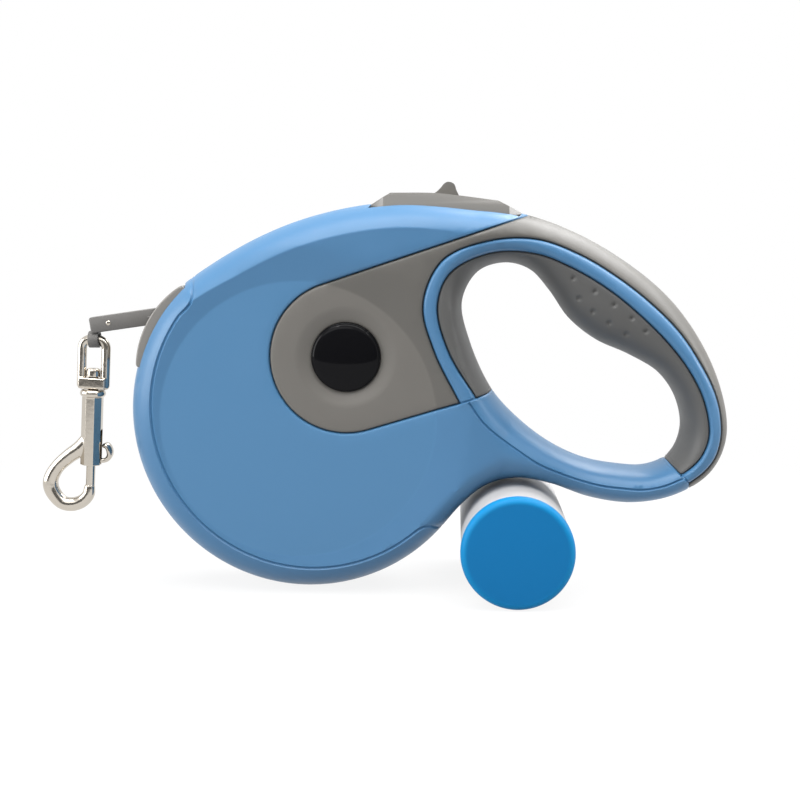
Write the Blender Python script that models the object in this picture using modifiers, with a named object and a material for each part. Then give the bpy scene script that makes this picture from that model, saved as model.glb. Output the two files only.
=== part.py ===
"""Retractable leash: a two-part moulded casing with a loop handle, a sprung tape reel, a thumb brake,
a bolt snap on the tape's sewn end, and a waste-bag dispenser that lies under the waist.

X runs from the snap to the handle, Y through the thickness (the front is -Y), Z up from the floor.
"""
import math

import bmesh
import bpy
import numpy as np
from mathutils import Matrix, Vector
from mathutils.geometry import delaunay_2d_cdt

MM = 0.001

# Fits: the gap between pieces that touch, and between the two halves of the casing
GAP = 0.3 * MM
RUN_GAP = 0.5 * MM

# Casing: the round housing stands on the floor, the handle loop starts at its waist
REEL_X = -22.3 * MM
RIM_ROOM = 11.0 * MM
HOUSING_HALF_DEPTH = 17.0 * MM
HANDLE_HALF_DEPTH = 13.5 * MM
TAPER_AHEAD = 15.0 * MM
TAPER_LENGTH = 50.0 * MM
PLATEAU_INSET = 13.6 * MM
PLATEAU_RISE = 0.8 * MM
PLATEAU_EASE = 1.5 * MM
RIM_GROOVE_INSET = 7.0 * MM
RIM_GROOVE_DEPTH = 0.6 * MM
RIM_GROOVE_WIDTH = 1.6 * MM
HOUSING_SHOULDER = 7.0 * MM
TOP_SHOULDER = 9.5 * MM
SHOULDER_POWER = 2.3
SKIN = 2.0 * MM
WALL = 1.6 * MM
DRUM_ARC_DEG = (133.0, 318.0)

# Outline points past the round housing, in mm from its rear at the reel's height: bow, handle and top
BOW_AND_HEEL = [(33.3, -27.3), (47.3, -29.1), (61.3, -26.2), (72.3, -18.8), (77.1, -7.0)]
HANDLE_BACK = [(73.3, 12.5), (59.7, 34.8), (38.3, 51.8), (14.5, 62.4)]
TOP_BACK = [(-8.2, 65.7), (-29.7, 66.9)]
# Front of the top edge: angles round the reel, and mm outside the round housing there
TOP_EDGE_DEG = (87.3, 107.9)
TOP_EDGE_PROUD = (5.9, 0.6)
# Hand hole, in mm from the same place, from its top round the left side
HAND_HOLE = [
    (6.1, 47.8), (-2.7, 45.0), (-7.7, 35.5), (-5.1, 22.5), (2.3, 6.7), (11.3, -3.0),
    (21.3, -10.4), (31.8, -15.2), (42.3, -17.2), (52.3, -17.5), (59.6, -14.0), (63.0, -5.5),
    (61.1, 4.5), (55.3, 12.8), (45.7, 18.6), (35.0, 23.4), (26.3, 30.3), (20.1, 39.0), (13.9, 45.6),
]
# The bead between the two grips, in mm from the same place, from the waist round to the heel
BEAD_OUTER = [
    (-8.3, 4.5), (-16.4, 20.8), (-19.8, 35.2), (-13.8, 48.7), (0.2, 54.6), (15.1, 55.1),
    (28.9, 50.2), (41.1, 42.9), (51.8, 34.5), (60.2, 26.0), (66.4, 16.9), (70.9, 8.5),
    (73.2, 0.8), (73.6, -6.8), (72.1, -13.0), (68.7, -17.5), (64.1, -21.0),
]
BEAD_INNER = [
    (-3.3, 6.1), (-12.0, 20.8), (-15.4, 34.5), (-11.5, 44.8), (1.3, 51.0), (15.1, 50.7),
    (25.8, 46.6), (37.3, 39.9), (47.2, 32.0), (56.4, 23.0), (62.5, 15.3), (67.1, 6.9),
    (69.3, -0.7), (69.6, -6.8), (67.6, -12.4), (64.9, -15.7), (61.4, -18.5),
]
# Waist over the dispenser, in mm from its crown
WAIST = [(-16.2, -7.8), (-9.2, -2.4), (0.0, 0.0), (10.8, -1.6)]
# Where the side cover meets the top edge, in mm from the same place
COVER_TIP = (13.7, 62.8)

# Side cover: a round panel with a dish and a domed badge
PANEL_FORWARD = 13.1 * MM
PANEL_RISE = 18.6 * MM
PANEL_RADIUS = 23.8 * MM
DISH_RADIUS = 15.7 * MM
DISH_DEPTH = 1.1 * MM
BADGE_RADIUS = 10.8 * MM
BADGE_CROWN = 1.9 * MM

# Reel and tape
TAPE_WIDTH = 12.0 * MM
TAPE_THICKNESS = 0.65 * MM
TAPE_FALL_DEG = 8.3
DRUM_RADIUS = 17.8 * MM
DRUM_WALL = 1.6 * MM
ROLL_RADIUS = 36.7 * MM
FLANGE_RADIUS = 46.0 * MM
FLANGE_THICKNESS = 1.6 * MM
RATCHET_NOTCHES = 12
NOTCH_RADIUS = 4.0 * MM
AXLE_RADIUS = 3.0 * MM
BUSH_WALL = 1.3 * MM
AXLE_BOSS_WALL = 2.7 * MM
MAINSPRING_TURNS = 7
MAINSPRING_THICKNESS = 0.45 * MM

# Outlet nozzle on the rim of the housing
NOZZLE_PROUD = 2.3 * MM
NOZZLE_DEPTH = 5.6 * MM
NOZZLE_SUNK = 0.6 * MM
NOZZLE_SPAN_DEG = 31.0
NOZZLE_HALF_WIDTH = 10.0 * MM
NOZZLE_ROUND = 0.7 * MM
SLOT_HEIGHT = 1.9 * MM

# Sewn end of the tape
SLEEVE_LENGTH = 21.0 * MM
SLEEVE_HEIGHT = 5.2 * MM
SLEEVE_WIDTH = 5.4 * MM
SLEEVE_ROUND = 1.0 * MM
SLEEVE_LOOP_WIDTH = 3.4 * MM
SLEEVE_LOOP_WALL = 0.9 * MM
RIVET_RADIUS = 0.9 * MM
RIVET_PROUD = 0.3 * MM
RIVET_FROM_END = 7.0 * MM

# Bolt snap, built down from the bar of its eye
SNAP_TILT_DEG = 3.3
EYE_BAR_RADIUS = 1.55 * MM
EYE_HALF_WIDTH = 3.9 * MM
EYE_LENGTH = 12.5 * MM
EYE_CORNER = 2.6 * MM
EYE_BASE_HEIGHT = 3.6 * MM
EYE_BASE_DEPTH = 5.6 * MM
STEM_RADIUS = 1.4 * MM
STEM_HEAD_RADIUS = 2.3 * MM
STEM_HEAD_HEIGHT = 2.8 * MM
COLLAR_RADIUS = 4.2 * MM
COLLAR_HEIGHT = 2.5 * MM
BARREL_RADIUS = 3.3 * MM
BARREL_LENGTH = 22.5 * MM
BOLT_RADIUS = 1.5 * MM
BOLT_REACH = 7.5 * MM
BOLT_GUIDE = 10.4 * MM
BOLT_TRAVEL = 7.5 * MM
BOLT_SPRING_WIRE = 0.22 * MM
BOLT_SPRING_TURNS = 5
LEVER_RADIUS = 1.1 * MM
LEVER_REACH = 7.0 * MM
LEVER_RISE = 3.9 * MM
LEVER_HALF_HEIGHT = 3.0 * MM
LEVER_CURL = 0.6 * MM
SPRING_PACKED = 2.0 * MM
HOOK_RADIUS = 2.5 * MM
HOOK_TIP_RADIUS = 1.75 * MM
# Centre line of the hook below the barrel's foot: (across, down) in mm, before the tip under the bolt
HOOK_BEND = [(-1.6, -5.4), (-7.4, -2.2), (-11.2, 1.8), (-12.7, 6.0), (-11.6, 9.9), (-8.5, 12.8), (-4.9, 14.0),
             (-1.7, 12.8)]

# Thumb brake on the top edge
BUTTON_HALF_WIDTH = 8.0 * MM
BUTTON_ROUND = 0.8 * MM
TAB_ROUND = 0.5 * MM
# Button top: mm past the housing's rear, and mm above the casing's top edge there
BUTTON_RISES = [(-37.1, -1.0), (-31.0, 3.4), (-16.7, 3.6), (-8.5, 3.6), (3.8, 3.4), (11.6, 0.9)]
BUTTON_SKIRT = 7.2 * MM
BUTTON_TRAVEL = 2.8 * MM
PLUNGER_WIDTH = 5.2 * MM
PLUNGER_DEPTH = 3.0 * MM
TAB_LENGTH = 7.6 * MM
TAB_HEIGHT = 4.0 * MM
TAB_WIDTH = 7.0 * MM
TAB_AHEAD = 12.7 * MM
TAB_GROOVE = 1.2 * MM
TAB_TRAVEL = 4.0 * MM
BRAKE_SPRING_RADIUS = 2.4 * MM
BRAKE_SPRING_WIRE = 0.35 * MM
BRAKE_SPRING_TURNS = 4

# Screws that hold the halves, driven from the back: by angle round the rim, and in mm from the housing's rear
RIM_SCREWS_DEG = {"nozzle": 110.0, "belly": 250.0, "keel": 300.0}
HANDLE_SCREWS = {"waist": (-4.7, -7.0), "bow": (50.3, -23.4)}
SCREW_RADIUS = 1.2 * MM
SCREW_HEAD_RADIUS = 2.4 * MM
SCREW_HEAD_HEIGHT = 1.6 * MM
SCREW_BITE = 6.0 * MM
BOSS_RADIUS = 3.8 * MM
SCREW_SEAT = 6.0 * MM

# Waste-bag dispenser
DISPENSER_BEHIND = 9.5 * MM
DISPENSER_RADIUS = 17.5 * MM
DISPENSER_LENGTH = 68.0 * MM
DISPENSER_WALL = 1.6 * MM
CAP_THICKNESS = 3.2 * MM
CAP_ROUND = 1.4 * MM
CAP_PLUG_LENGTH = 6.0 * MM
CAP_PLUG_WALL = 1.5 * MM
BAG_SLOT_WIDTH = 6.0 * MM
BAG_SLOT_LENGTH = 42.0 * MM
BAG_SLOT_ANGLE_DEG = 0.0

# Facets: the step between points along the casing's outline, and the sides of turned pieces
OUTLINE_STEP = 6.6 * MM
ZONE_STEP = 3.8 * MM
FLAT_DEG = 0.5
TURNED_SIDES = 28
SMALL_SIDES = 14

COLOURS = {
    "shell_blue": ((0.093, 0.238, 0.434), 0.34, 0.0),
    "grip_grey": ((0.141, 0.136, 0.122), 0.62, 0.0),
    "trim_grey": ((0.250, 0.235, 0.215), 0.45, 0.0),
    "badge_black": ((0.010, 0.010, 0.012), 0.08, 0.0),
    "nickel": ((0.62, 0.58, 0.53), 0.22, 1.0),
    "steel": ((0.55, 0.55, 0.55), 0.35, 1.0),
    "tape_grey": ((0.170, 0.165, 0.160), 0.85, 0.0),
    "inner_plastic": ((0.60, 0.60, 0.58), 0.5, 0.0),
    "dispenser_grey": ((0.53, 0.52, 0.52), 0.5, 0.0),
    "cap_blue": ((0.014, 0.171, 0.429), 0.4, 0.0),
}

# Worked out from the sizes above
BODY_RADIUS = FLANGE_RADIUS + RIM_ROOM
REEL_Z = BODY_RADIUS
REEL = np.array([REEL_X, REEL_Z])
PANEL_CENTRE = REEL + np.array([PANEL_FORWARD, PANEL_RISE])
COVER_INSET = SKIN + GAP
CAVITY_INSET = SKIN + GAP + WALL
TAPE_ANGLE = math.radians(TAPE_FALL_DEG)
OUTWARD = np.array([-math.cos(TAPE_ANGLE), -math.sin(TAPE_ANGLE)])
UPWARD = np.array([-math.sin(TAPE_ANGLE), math.cos(TAPE_ANGLE)])
TAPE_OFFSET = ROLL_RADIUS + GAP + TAPE_THICKNESS / 2
TAPE_START = REEL + UPWARD * TAPE_OFFSET
NOZZLE_RADIUS = BODY_RADIUS + NOZZLE_PROUD
RIM_GROOVE_RADIUS = BODY_RADIUS - RIM_GROOVE_INSET
PLATEAU_RADIUS = BODY_RADIUS - PLATEAU_INSET
TAPER_START = BODY_RADIUS - TAPER_AHEAD
TAPE_EXIT = math.sqrt(NOZZLE_RADIUS ** 2 - TAPE_OFFSET ** 2)
TAPE_HALF = TAPE_WIDTH / 2
FLANGE_INNER = TAPE_HALF + RUN_GAP
FLANGE_OUTER = FLANGE_INNER + FLANGE_THICKNESS
BUSH_RADIUS = AXLE_RADIUS + GAP + BUSH_WALL
DISPENSER_X = REEL_X + BODY_RADIUS + DISPENSER_BEHIND
DISPENSER_TOP = 2 * DISPENSER_RADIUS + GAP + RUN_GAP


def mm_points(points):
    return np.array(points, float) * MM


def from_rear(points):
    """Points of the side view that are given in mm from the housing's rear, at the reel's height."""
    return REEL + np.array([BODY_RADIUS, 0]) + mm_points(points)


def direction(angle):
    """Unit vector of the side view at an angle in degrees from +X."""
    return np.array([math.cos(math.radians(angle)), math.sin(math.radians(angle))])


def spline(points, samples, closed):
    """Points along a centripetal Catmull-Rom curve through the given ones."""
    points = np.asarray(points, float)
    count = len(points)
    result = []
    for i in range(count if closed else count - 1):
        before, start = points[i - 1], points[i]
        end, after = points[(i + 1) % count], points[(i + 2) % count]
        if not closed and i == 0:
            before = 2 * start - end
        if not closed and i == count - 2:
            after = 2 * end - start
        t0 = 0.0
        t1 = t0 + math.sqrt(np.linalg.norm(start - before))
        t2 = t1 + math.sqrt(np.linalg.norm(end - start))
        t3 = t2 + math.sqrt(np.linalg.norm(after - end))
        for t in np.linspace(t1, t2, samples, endpoint=False):
            a1 = ((t1 - t) * before + (t - t0) * start) / (t1 - t0)
            a2 = ((t2 - t) * start + (t - t1) * end) / (t2 - t1)
            a3 = ((t3 - t) * end + (t - t2) * after) / (t3 - t2)
            b1 = ((t2 - t) * a1 + (t - t0) * a2) / (t2 - t0)
            b2 = ((t3 - t) * a2 + (t - t1) * a3) / (t3 - t1)
            result.append(((t2 - t) * b1 + (t - t1) * b2) / (t2 - t1))
    if not closed:
        result.append(points[-1])
    return np.array(result)


def resampled(loop, step):
    """A closed loop's points, spaced evenly at about the given step."""
    ring = np.vstack([loop, loop[:1]])
    along = np.concatenate([[0.0], np.cumsum(np.linalg.norm(np.diff(ring, axis=0), axis=1))])
    count = max(12, round(along[-1] / step))
    places = np.linspace(0, along[-1], count, endpoint=False)
    return np.column_stack([np.interp(places, along, ring[:, k]) for k in range(2)])


def signed_area(loop):
    x, z = loop.T
    return 0.5 * np.sum(x * np.roll(z, -1) - np.roll(x, -1) * z)


def offset_loop(loop, distance):
    """The closed loop moved to its outer side by the distance."""
    along = np.roll(loop, -1, axis=0) - np.roll(loop, 1, axis=0)
    along /= np.linalg.norm(along, axis=1)[:, None]
    outer = np.column_stack([along[:, 1], -along[:, 0]])
    return loop + outer * distance * np.sign(signed_area(loop))


def distance_to(points, loop):
    """Each point's distance to the closed loop."""
    ends = np.roll(loop, -1, axis=0)
    side = ends - loop
    length = np.maximum(np.sum(side * side, axis=1), 1e-18)
    nearest = np.full(len(points), np.inf)
    for corner, edge, square in zip(loop, side, length):
        share = np.clip((points - corner) @ edge / square, 0, 1)
        gap = np.linalg.norm(points - corner - share[:, None] * edge, axis=1)
        nearest = np.minimum(nearest, gap)
    return nearest


def inside(points, loop):
    """Which points lie within the closed loop."""
    x, z = points.T
    found = np.zeros(len(points), bool)
    for (x0, z0), (x1, z1) in zip(loop, np.roll(loop, -1, axis=0)):
        if z0 == z1:
            continue
        crosses = (z0 > z) != (z1 > z)
        found ^= crosses & (x < (x1 - x0) * (z - z0) / (z1 - z0) + x0)
    return found


def smooth_step(value, start, end):
    share = np.clip((value - start) / (end - start), 0, 1)
    return share * share * (3 - 2 * share)


def casing_outline():
    """The casing seen from the side: the round housing, the waist over the dispenser, handle and top."""
    angles = np.radians(np.arange(DRUM_ARC_DEG[0], DRUM_ARC_DEG[1] + 1, 5.0))
    drum = REEL + BODY_RADIUS * np.column_stack([np.cos(angles), np.sin(angles)])
    crown = np.array([DISPENSER_X, DISPENSER_TOP])
    waist = crown + mm_points(WAIST)
    rest = from_rear(BOW_AND_HEEL + HANDLE_BACK + TOP_BACK)
    top = [(BODY_RADIUS + proud * MM) * direction(angle) for angle, proud in zip(TOP_EDGE_DEG, TOP_EDGE_PROUD)]
    return spline(np.vstack([drum, waist, rest, REEL + top]), 4, True)


OUTLINE = casing_outline()
HOLE = spline(from_rear(HAND_HOLE), 6, True)


def half_depth(points):
    """Half the casing's thickness: thick over the reel, slimmer in the hand."""
    past = points[:, 0] - REEL_X - TAPER_START
    share = smooth_step(past, 0.0, TAPER_LENGTH)
    return HOUSING_HALF_DEPTH + (HANDLE_HALF_DEPTH - HOUSING_HALF_DEPTH) * share


def shoulder(points):
    """Width of the rounded edge: narrow round the reel, wider along the top and the handle."""
    top = smooth_step(points[:, 1] - REEL_Z, 0.35 * BODY_RADIUS, 0.8 * BODY_RADIUS)
    hand = smooth_step(points[:, 0] - REEL_X, 0.57 * BODY_RADIUS, 1.1 * BODY_RADIUS)
    return HOUSING_SHOULDER + (TOP_SHOULDER - HOUSING_SHOULDER) * np.maximum(top, hand)


def rim_groove(points):
    """Depth of the fine groove that sets the rim of the housing off from its side."""
    away = points - REEL
    radius = np.linalg.norm(away, axis=1)
    angle = np.degrees(np.arctan2(away[:, 1], away[:, 0])) % 360
    fade = smooth_step(angle, DRUM_ARC_DEG[0], DRUM_ARC_DEG[0] + 8)
    fade *= 1 - smooth_step(angle, DRUM_ARC_DEG[1] - 8, DRUM_ARC_DEG[1])
    profile = np.clip(1 - np.abs(radius - RIM_GROOVE_RADIUS) / (RIM_GROOVE_WIDTH / 2), 0, 1)
    return RIM_GROOVE_DEPTH * fade * profile


def side_height(points, outline, hole, inset):
    """How far the side stands from the middle plane, for the casing shrunk by the inset."""
    edge = np.minimum(distance_to(points, outline), distance_to(points, hole))
    width = shoulder(points) - 0.6 * inset
    share = np.clip(edge / width, 0, 1)
    height = (half_depth(points) - inset) * (1 - (1 - share) ** SHOULDER_POWER) ** (1 / SHOULDER_POWER)
    radius = np.linalg.norm(points - REEL, axis=1)
    height += PLATEAU_RISE * (1 - smooth_step(radius, PLATEAU_RADIUS - PLATEAU_EASE, PLATEAU_RADIUS + PLATEAU_EASE))
    if inset == 0:
        height -= rim_groove(points)
    return height


def ring_points(radius, step, start=0.0, end=math.degrees(2 * math.pi)):
    count = max(8, round(math.radians(end - start) * radius / step))
    angles = np.radians(np.linspace(start, end, count, endpoint=False))
    return REEL + radius * np.column_stack([np.cos(angles), np.sin(angles)])


def groove_ring(side, step):
    """Points along the rim groove, on its floor or, half its width away, on one of its edges."""
    radius = RIM_GROOVE_RADIUS + side * RIM_GROOVE_WIDTH
    return ring_points(radius, step * radius / RIM_GROOVE_RADIUS, *DRUM_ARC_DEG)


def screw_places():
    """Middles of the screws: on the rim just clear of the flange, and in the handle."""
    radius = FLANGE_RADIUS + RUN_GAP + BOSS_RADIUS
    places = {name: REEL + radius * direction(angle) for name, angle in RIM_SCREWS_DEG.items()}
    places.update({name: from_rear(place) for name, place in HANDLE_SCREWS.items()})
    return places


def boss_reach(place):
    """How far a screw boss can stand from the middle plane and still end inside the wall."""
    angles = np.linspace(0, 2 * math.pi, 12, endpoint=False)
    edge = np.array(place) + BOSS_RADIUS * np.column_stack([np.cos(angles), np.sin(angles)])
    return float(side_height(edge, OUTLINE, HOLE, 0.0).min()) - WALL / 2


def side_height_at(place):
    return float(side_height(np.array([place]), OUTLINE, HOLE, 0.0)[0])


def face_net(loops, points):
    """Triangles between the outer loop and its hole, through the loose points."""
    corners = np.vstack(loops + [points]) if len(points) else np.vstack(loops)
    edges = []
    first = 0
    for loop in loops:
        count = len(loop)
        edges += [(first + i, first + (i + 1) % count) for i in range(count)]
        first += count
    scaled = [Vector(corner / MM) for corner in corners]
    found = delaunay_2d_cdt(scaled, edges, [], 0, 1e-6)
    corners = np.array([tuple(corner) for corner in found[0]]) * MM
    faces = np.array(found[2])
    middle = corners[faces].mean(axis=1)
    kept = inside(middle, loops[0])
    for hole in loops[1:]:
        kept &= ~inside(middle, hole)
    return corners, faces[kept]


def half_form(name, inset, step, rings, details):
    """One closed half of the casing's form in front of the middle plane, shrunk by the inset."""
    outline = offset_loop(resampled(OUTLINE, step), -inset)
    hole = offset_loop(resampled(HOLE, step * 0.66), inset)
    width = TOP_SHOULDER - 0.6 * inset
    loose = []
    for deep in width * np.array(rings):
        ring = np.vstack([offset_loop(outline, -deep), offset_loop(hole, deep)])
        edge = np.minimum(distance_to(ring, outline), distance_to(ring, hole))
        loose.append(ring[edge > 0.93 * deep])
    low, high = outline.min(axis=0), outline.max(axis=0)
    grid = np.meshgrid(*[np.arange(a, b, 2.6 * step) for a, b in zip(low, high)])
    grid = np.column_stack([axis.ravel() for axis in grid])
    edge = np.minimum(distance_to(grid, outline), distance_to(grid, hole))
    loose.append(grid[edge > width + 0.5 * step])
    loose = np.vstack(loose)
    edge = np.minimum(distance_to(loose, outline), distance_to(loose, hole))
    apart = 0.35 * width * min(rings)
    loose = loose[inside(loose, outline) & ~inside(loose, hole) & (edge > apart)]
    loose = thinned(loose, 0.22 * step)
    if details:
        away = np.linalg.norm(loose - REEL, axis=1)
        loose = loose[np.abs(away - RIM_GROOVE_RADIUS) > RIM_GROOVE_WIDTH]
        rims = [groove_ring(side, 0.8 * step) for side in (-0.5, 0.0, 0.5)]
        rims += [ring_points(PLATEAU_RADIUS + side * PLATEAU_EASE, 1.6 * step) for side in (-1, 1)]
        rims = np.vstack(rims)
        edge = np.minimum(distance_to(rims, outline), distance_to(rims, hole))
        loose = np.vstack([loose, rims[inside(rims, outline) & (edge > apart)]])
    corners, faces = face_net([outline, hole], loose)
    flat = flat_middles(corners, faces, outline, hole)
    if len(flat):
        corners, faces = face_net([outline, hole], np.vstack([loose, flat]))
    height = side_height(corners, outline, hole, inset)
    edge = np.minimum(distance_to(corners, outline), distance_to(corners, hole))
    height[edge < 1e-6] = 0.0
    base_corners, base_faces = face_net([outline, hole], np.empty((0, 2)))
    form = bmesh.new()
    top = [form.verts.new((x, -GAP / 2 - h, z)) for (x, z), h in zip(corners, height)]
    for a, b, c in faces:
        form.faces.new((top[a], top[b], top[c]))
    base = [form.verts.new((x, -GAP / 2, z)) for x, z in base_corners]
    for a, b, c in base_faces:
        form.faces.new((base[c], base[b], base[a]))
    bmesh.ops.remove_doubles(form, verts=form.verts, dist=1e-6)
    bmesh.ops.recalc_face_normals(form, faces=form.faces)
    return mesh_object(name, form)


def flat_middles(corners, faces, outline, hole):
    """Middles of the triangles across a narrow neck, whose corners all lie on the outline or the hole."""
    on_edge = np.minimum(distance_to(corners, outline), distance_to(corners, hole)) < 1e-6
    return corners[faces[on_edge[faces].all(axis=1)]].mean(axis=1)


def thinned(points, least):
    """The points without those that lie closer than the least distance to an earlier one."""
    cells = {}
    for point in points:
        cells.setdefault(tuple(np.round(point / least).astype(int)), point)
    return np.array(list(cells.values()))


def mesh_object(name, form):
    mesh = bpy.data.meshes.new(name)
    form.to_mesh(mesh)
    form.free()
    obj = bpy.data.objects.new(name, mesh)
    bpy.context.scene.collection.objects.link(obj)
    return obj


def settled(obj):
    """Turns a curve or an object with modifiers into the plain mesh that it shows."""
    bpy.context.view_layer.update()
    graph = bpy.context.evaluated_depsgraph_get()
    mesh = bpy.data.meshes.new_from_object(obj.evaluated_get(graph))
    form = bmesh.new()
    form.from_mesh(mesh)
    bmesh.ops.remove_doubles(form, verts=form.verts, dist=1e-6)
    bmesh.ops.recalc_face_normals(form, faces=form.faces)
    form.transform(obj.matrix_world)
    name = obj.name
    bpy.data.objects.remove(obj)
    bpy.data.meshes.remove(mesh)
    return mesh_object(name, form)


def joined(obj, other, operation):
    """Applies a Boolean of the other object to the first, and removes the other."""
    modifier = obj.modifiers.new(operation.lower(), "BOOLEAN")
    modifier.operation = operation
    modifier.object = other
    result = settled(obj)
    bpy.data.objects.remove(other)
    return result


def largest_body(form):
    """Drops the crumbs that cuts leave beside the main body."""
    left = set(form.verts)
    bodies = []
    while left:
        found = {left.pop()}
        edge = list(found)
        while edge:
            corner = edge.pop()
            for side in corner.link_edges:
                other = side.other_vert(corner)
                if other in left:
                    left.remove(other)
                    found.add(other)
                    edge.append(other)
        bodies.append(found)
    bodies.sort(key=len)
    for crumb in bodies[:-1]:
        bmesh.ops.delete(form, geom=list(crumb), context="VERTS")


def simplified(obj):
    """Keeps the main body of a cut piece, and merges the neighbouring faces that lie in one plane."""
    form = bmesh.new()
    form.from_mesh(obj.data)
    largest_body(form)
    bmesh.ops.dissolve_limit(form, angle_limit=math.radians(FLAT_DEG), verts=form.verts, edges=form.edges)
    form.to_mesh(obj.data)
    form.free()
    return obj


def copied(obj, name):
    twin = bpy.data.objects.new(name, obj.data.copy())
    twin.matrix_world = obj.matrix_world
    bpy.context.scene.collection.objects.link(twin)
    return twin


def grown(obj, name, distance):
    """A copy of a half form with its side pushed out, and its flat back kept on the middle plane."""
    twin = copied(obj, name)
    form = bmesh.new()
    form.from_mesh(twin.data)
    form.normal_update()
    back = max(corner.co.y for corner in form.verts)
    moves = []
    for corner in form.verts:
        normal = corner.normal.copy()
        if corner.co.y > back - GAP / 2:
            normal.y = 0.0
            normal.normalize()
        moves.append(normal * distance)
    for corner, move in zip(form.verts, moves):
        corner.co += move
    form.to_mesh(twin.data)
    form.free()
    return twin


def mirrored(obj, name):
    """The same piece on the other side of the middle plane."""
    form = bmesh.new()
    form.from_mesh(obj.data)
    form.transform(Matrix.Diagonal((1, -1, 1, 1)))
    bmesh.ops.reverse_faces(form, faces=form.faces)
    return mesh_object(name, form)


def plate(name, loop, low, high, bevel=0.0):
    """A flat outline in X and Z, filled and drawn out between two depths in Y."""
    curve = bpy.data.curves.new(name, "CURVE")
    curve.dimensions = "2D"
    curve.fill_mode = "BOTH"
    curve.extrude = (high - low) / 2
    line = curve.splines.new("POLY")
    line.points.add(len(loop) - 1)
    for point, (x, z) in zip(line.points, loop):
        point.co = (x, z, 0, 1)
    line.use_cyclic_u = True
    obj = bpy.data.objects.new(name, curve)
    obj.matrix_world = Matrix.Translation((0, (low + high) / 2, 0)) @ Matrix.Rotation(math.pi / 2, 4, "X")
    bpy.context.scene.collection.objects.link(obj)
    obj = settled(obj)
    if bevel:
        rounded = obj.modifiers.new("round", "BEVEL")
        rounded.width = bevel
        rounded.segments = 2
        rounded.limit_method = "ANGLE"
        rounded.angle_limit = math.radians(50)
        obj = settled(obj)
    return obj


def turned(name, profile, sides, place=(0, 0, 0), axis="Y"):
    """A profile of (radius, height) points turned round a line through the place, along X, Y or Z."""
    mesh = bpy.data.meshes.new(name)
    corners = [(radius, 0, height) for radius, height in profile]
    edges = [(i, (i + 1) % len(corners)) for i in range(len(corners))]
    on_axis = [radius < 1e-7 for radius, _ in profile]
    edges = [(a, b) for a, b in edges if not (on_axis[a] and on_axis[b])]
    mesh.from_pydata(corners, edges, [])
    obj = bpy.data.objects.new(name, mesh)
    bpy.context.scene.collection.objects.link(obj)
    screw = obj.modifiers.new("turn", "SCREW")
    screw.steps = screw.render_steps = sides
    screw.use_merge_vertices = True
    screw.merge_threshold = 1e-6
    turns = {
        "X": Matrix.Rotation(math.pi / 2, 4, "Y"),
        "Y": Matrix.Rotation(-math.pi / 2, 4, "X"),
        "Z": Matrix.Identity(4),
    }
    obj.matrix_world = Matrix.Translation(place) @ turns[axis]
    return settled(obj)


def rod(name, radius, low, high, place, sides=SMALL_SIDES, axis="Y"):
    """A plain cylinder between two heights on its axis."""
    return turned(name, [(0, high), (radius, high), (radius, low), (0, low)], sides, place, axis)


def ring(name, inner, outer, low, high, place, sides=TURNED_SIDES, axis="Y"):
    """A flat or long ring between two heights on its axis."""
    return turned(name, [(inner, low), (inner, high), (outer, high), (outer, low)], sides, place, axis)


def at(place, depth=0.0):
    """A point of the side view, at a depth in Y."""
    return (place[0], depth, place[1])


def block(name, low, high):
    form = bmesh.new()
    bmesh.ops.create_cube(form, size=1.0)
    size = Vector(high) - Vector(low)
    middle = (Vector(high) + Vector(low)) / 2
    bmesh.ops.transform(form, matrix=Matrix.Translation(middle) @ Matrix.Diagonal((*size, 1)), verts=form.verts)
    return mesh_object(name, form)


def tube(name, points, radii, sides_level=2, cyclic=False):
    """A round bar along the points, with its own radius at each."""
    curve = bpy.data.curves.new(name, "CURVE")
    curve.dimensions = "3D"
    curve.bevel_depth = 1.0
    curve.bevel_resolution = sides_level
    curve.use_fill_caps = True
    line = curve.splines.new("POLY")
    line.points.add(len(points) - 1)
    for point, place, radius in zip(line.points, points, radii):
        point.co = (*place, 1)
        point.radius = radius
    line.use_cyclic_u = cyclic
    obj = bpy.data.objects.new(name, curve)
    bpy.context.scene.collection.objects.link(obj)
    return settled(obj)


def material(slot):
    found = bpy.data.materials.get(slot)
    if found:
        return found
    colour, roughness, metallic = COLOURS[slot]
    made = bpy.data.materials.new(slot)
    made.use_nodes = True
    shader = made.node_tree.nodes["Principled BSDF"]
    shader.inputs["Base Color"].default_value = (*colour, 1)
    shader.inputs["Roughness"].default_value = roughness
    shader.inputs["Metallic"].default_value = metallic
    made.diffuse_color = (*colour, 1)
    return made


def finish(obj, slot, collection, parent=None):
    """Gives the piece its material and shading, and puts it in the collection."""
    obj.data.materials.clear()
    obj.data.materials.append(material(slot))
    obj.data.shade_smooth()
    obj.data.set_sharp_from_angle(angle=math.radians(35))
    for holder in list(obj.users_collection):
        holder.objects.unlink(obj)
    collection.objects.link(obj)
    if parent:
        obj.parent = parent
        obj.matrix_parent_inverse = parent.matrix_world.inverted()
    return obj


def axis_empty(name, place, collection, tilt=0.0):
    empty = bpy.data.objects.new(name, None)
    empty.empty_display_size = BADGE_RADIUS
    empty.matrix_world = Matrix.Translation(place) @ Matrix.Rotation(tilt, 4, "Y")
    collection.objects.link(empty)
    bpy.context.view_layer.update()
    return empty


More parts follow.
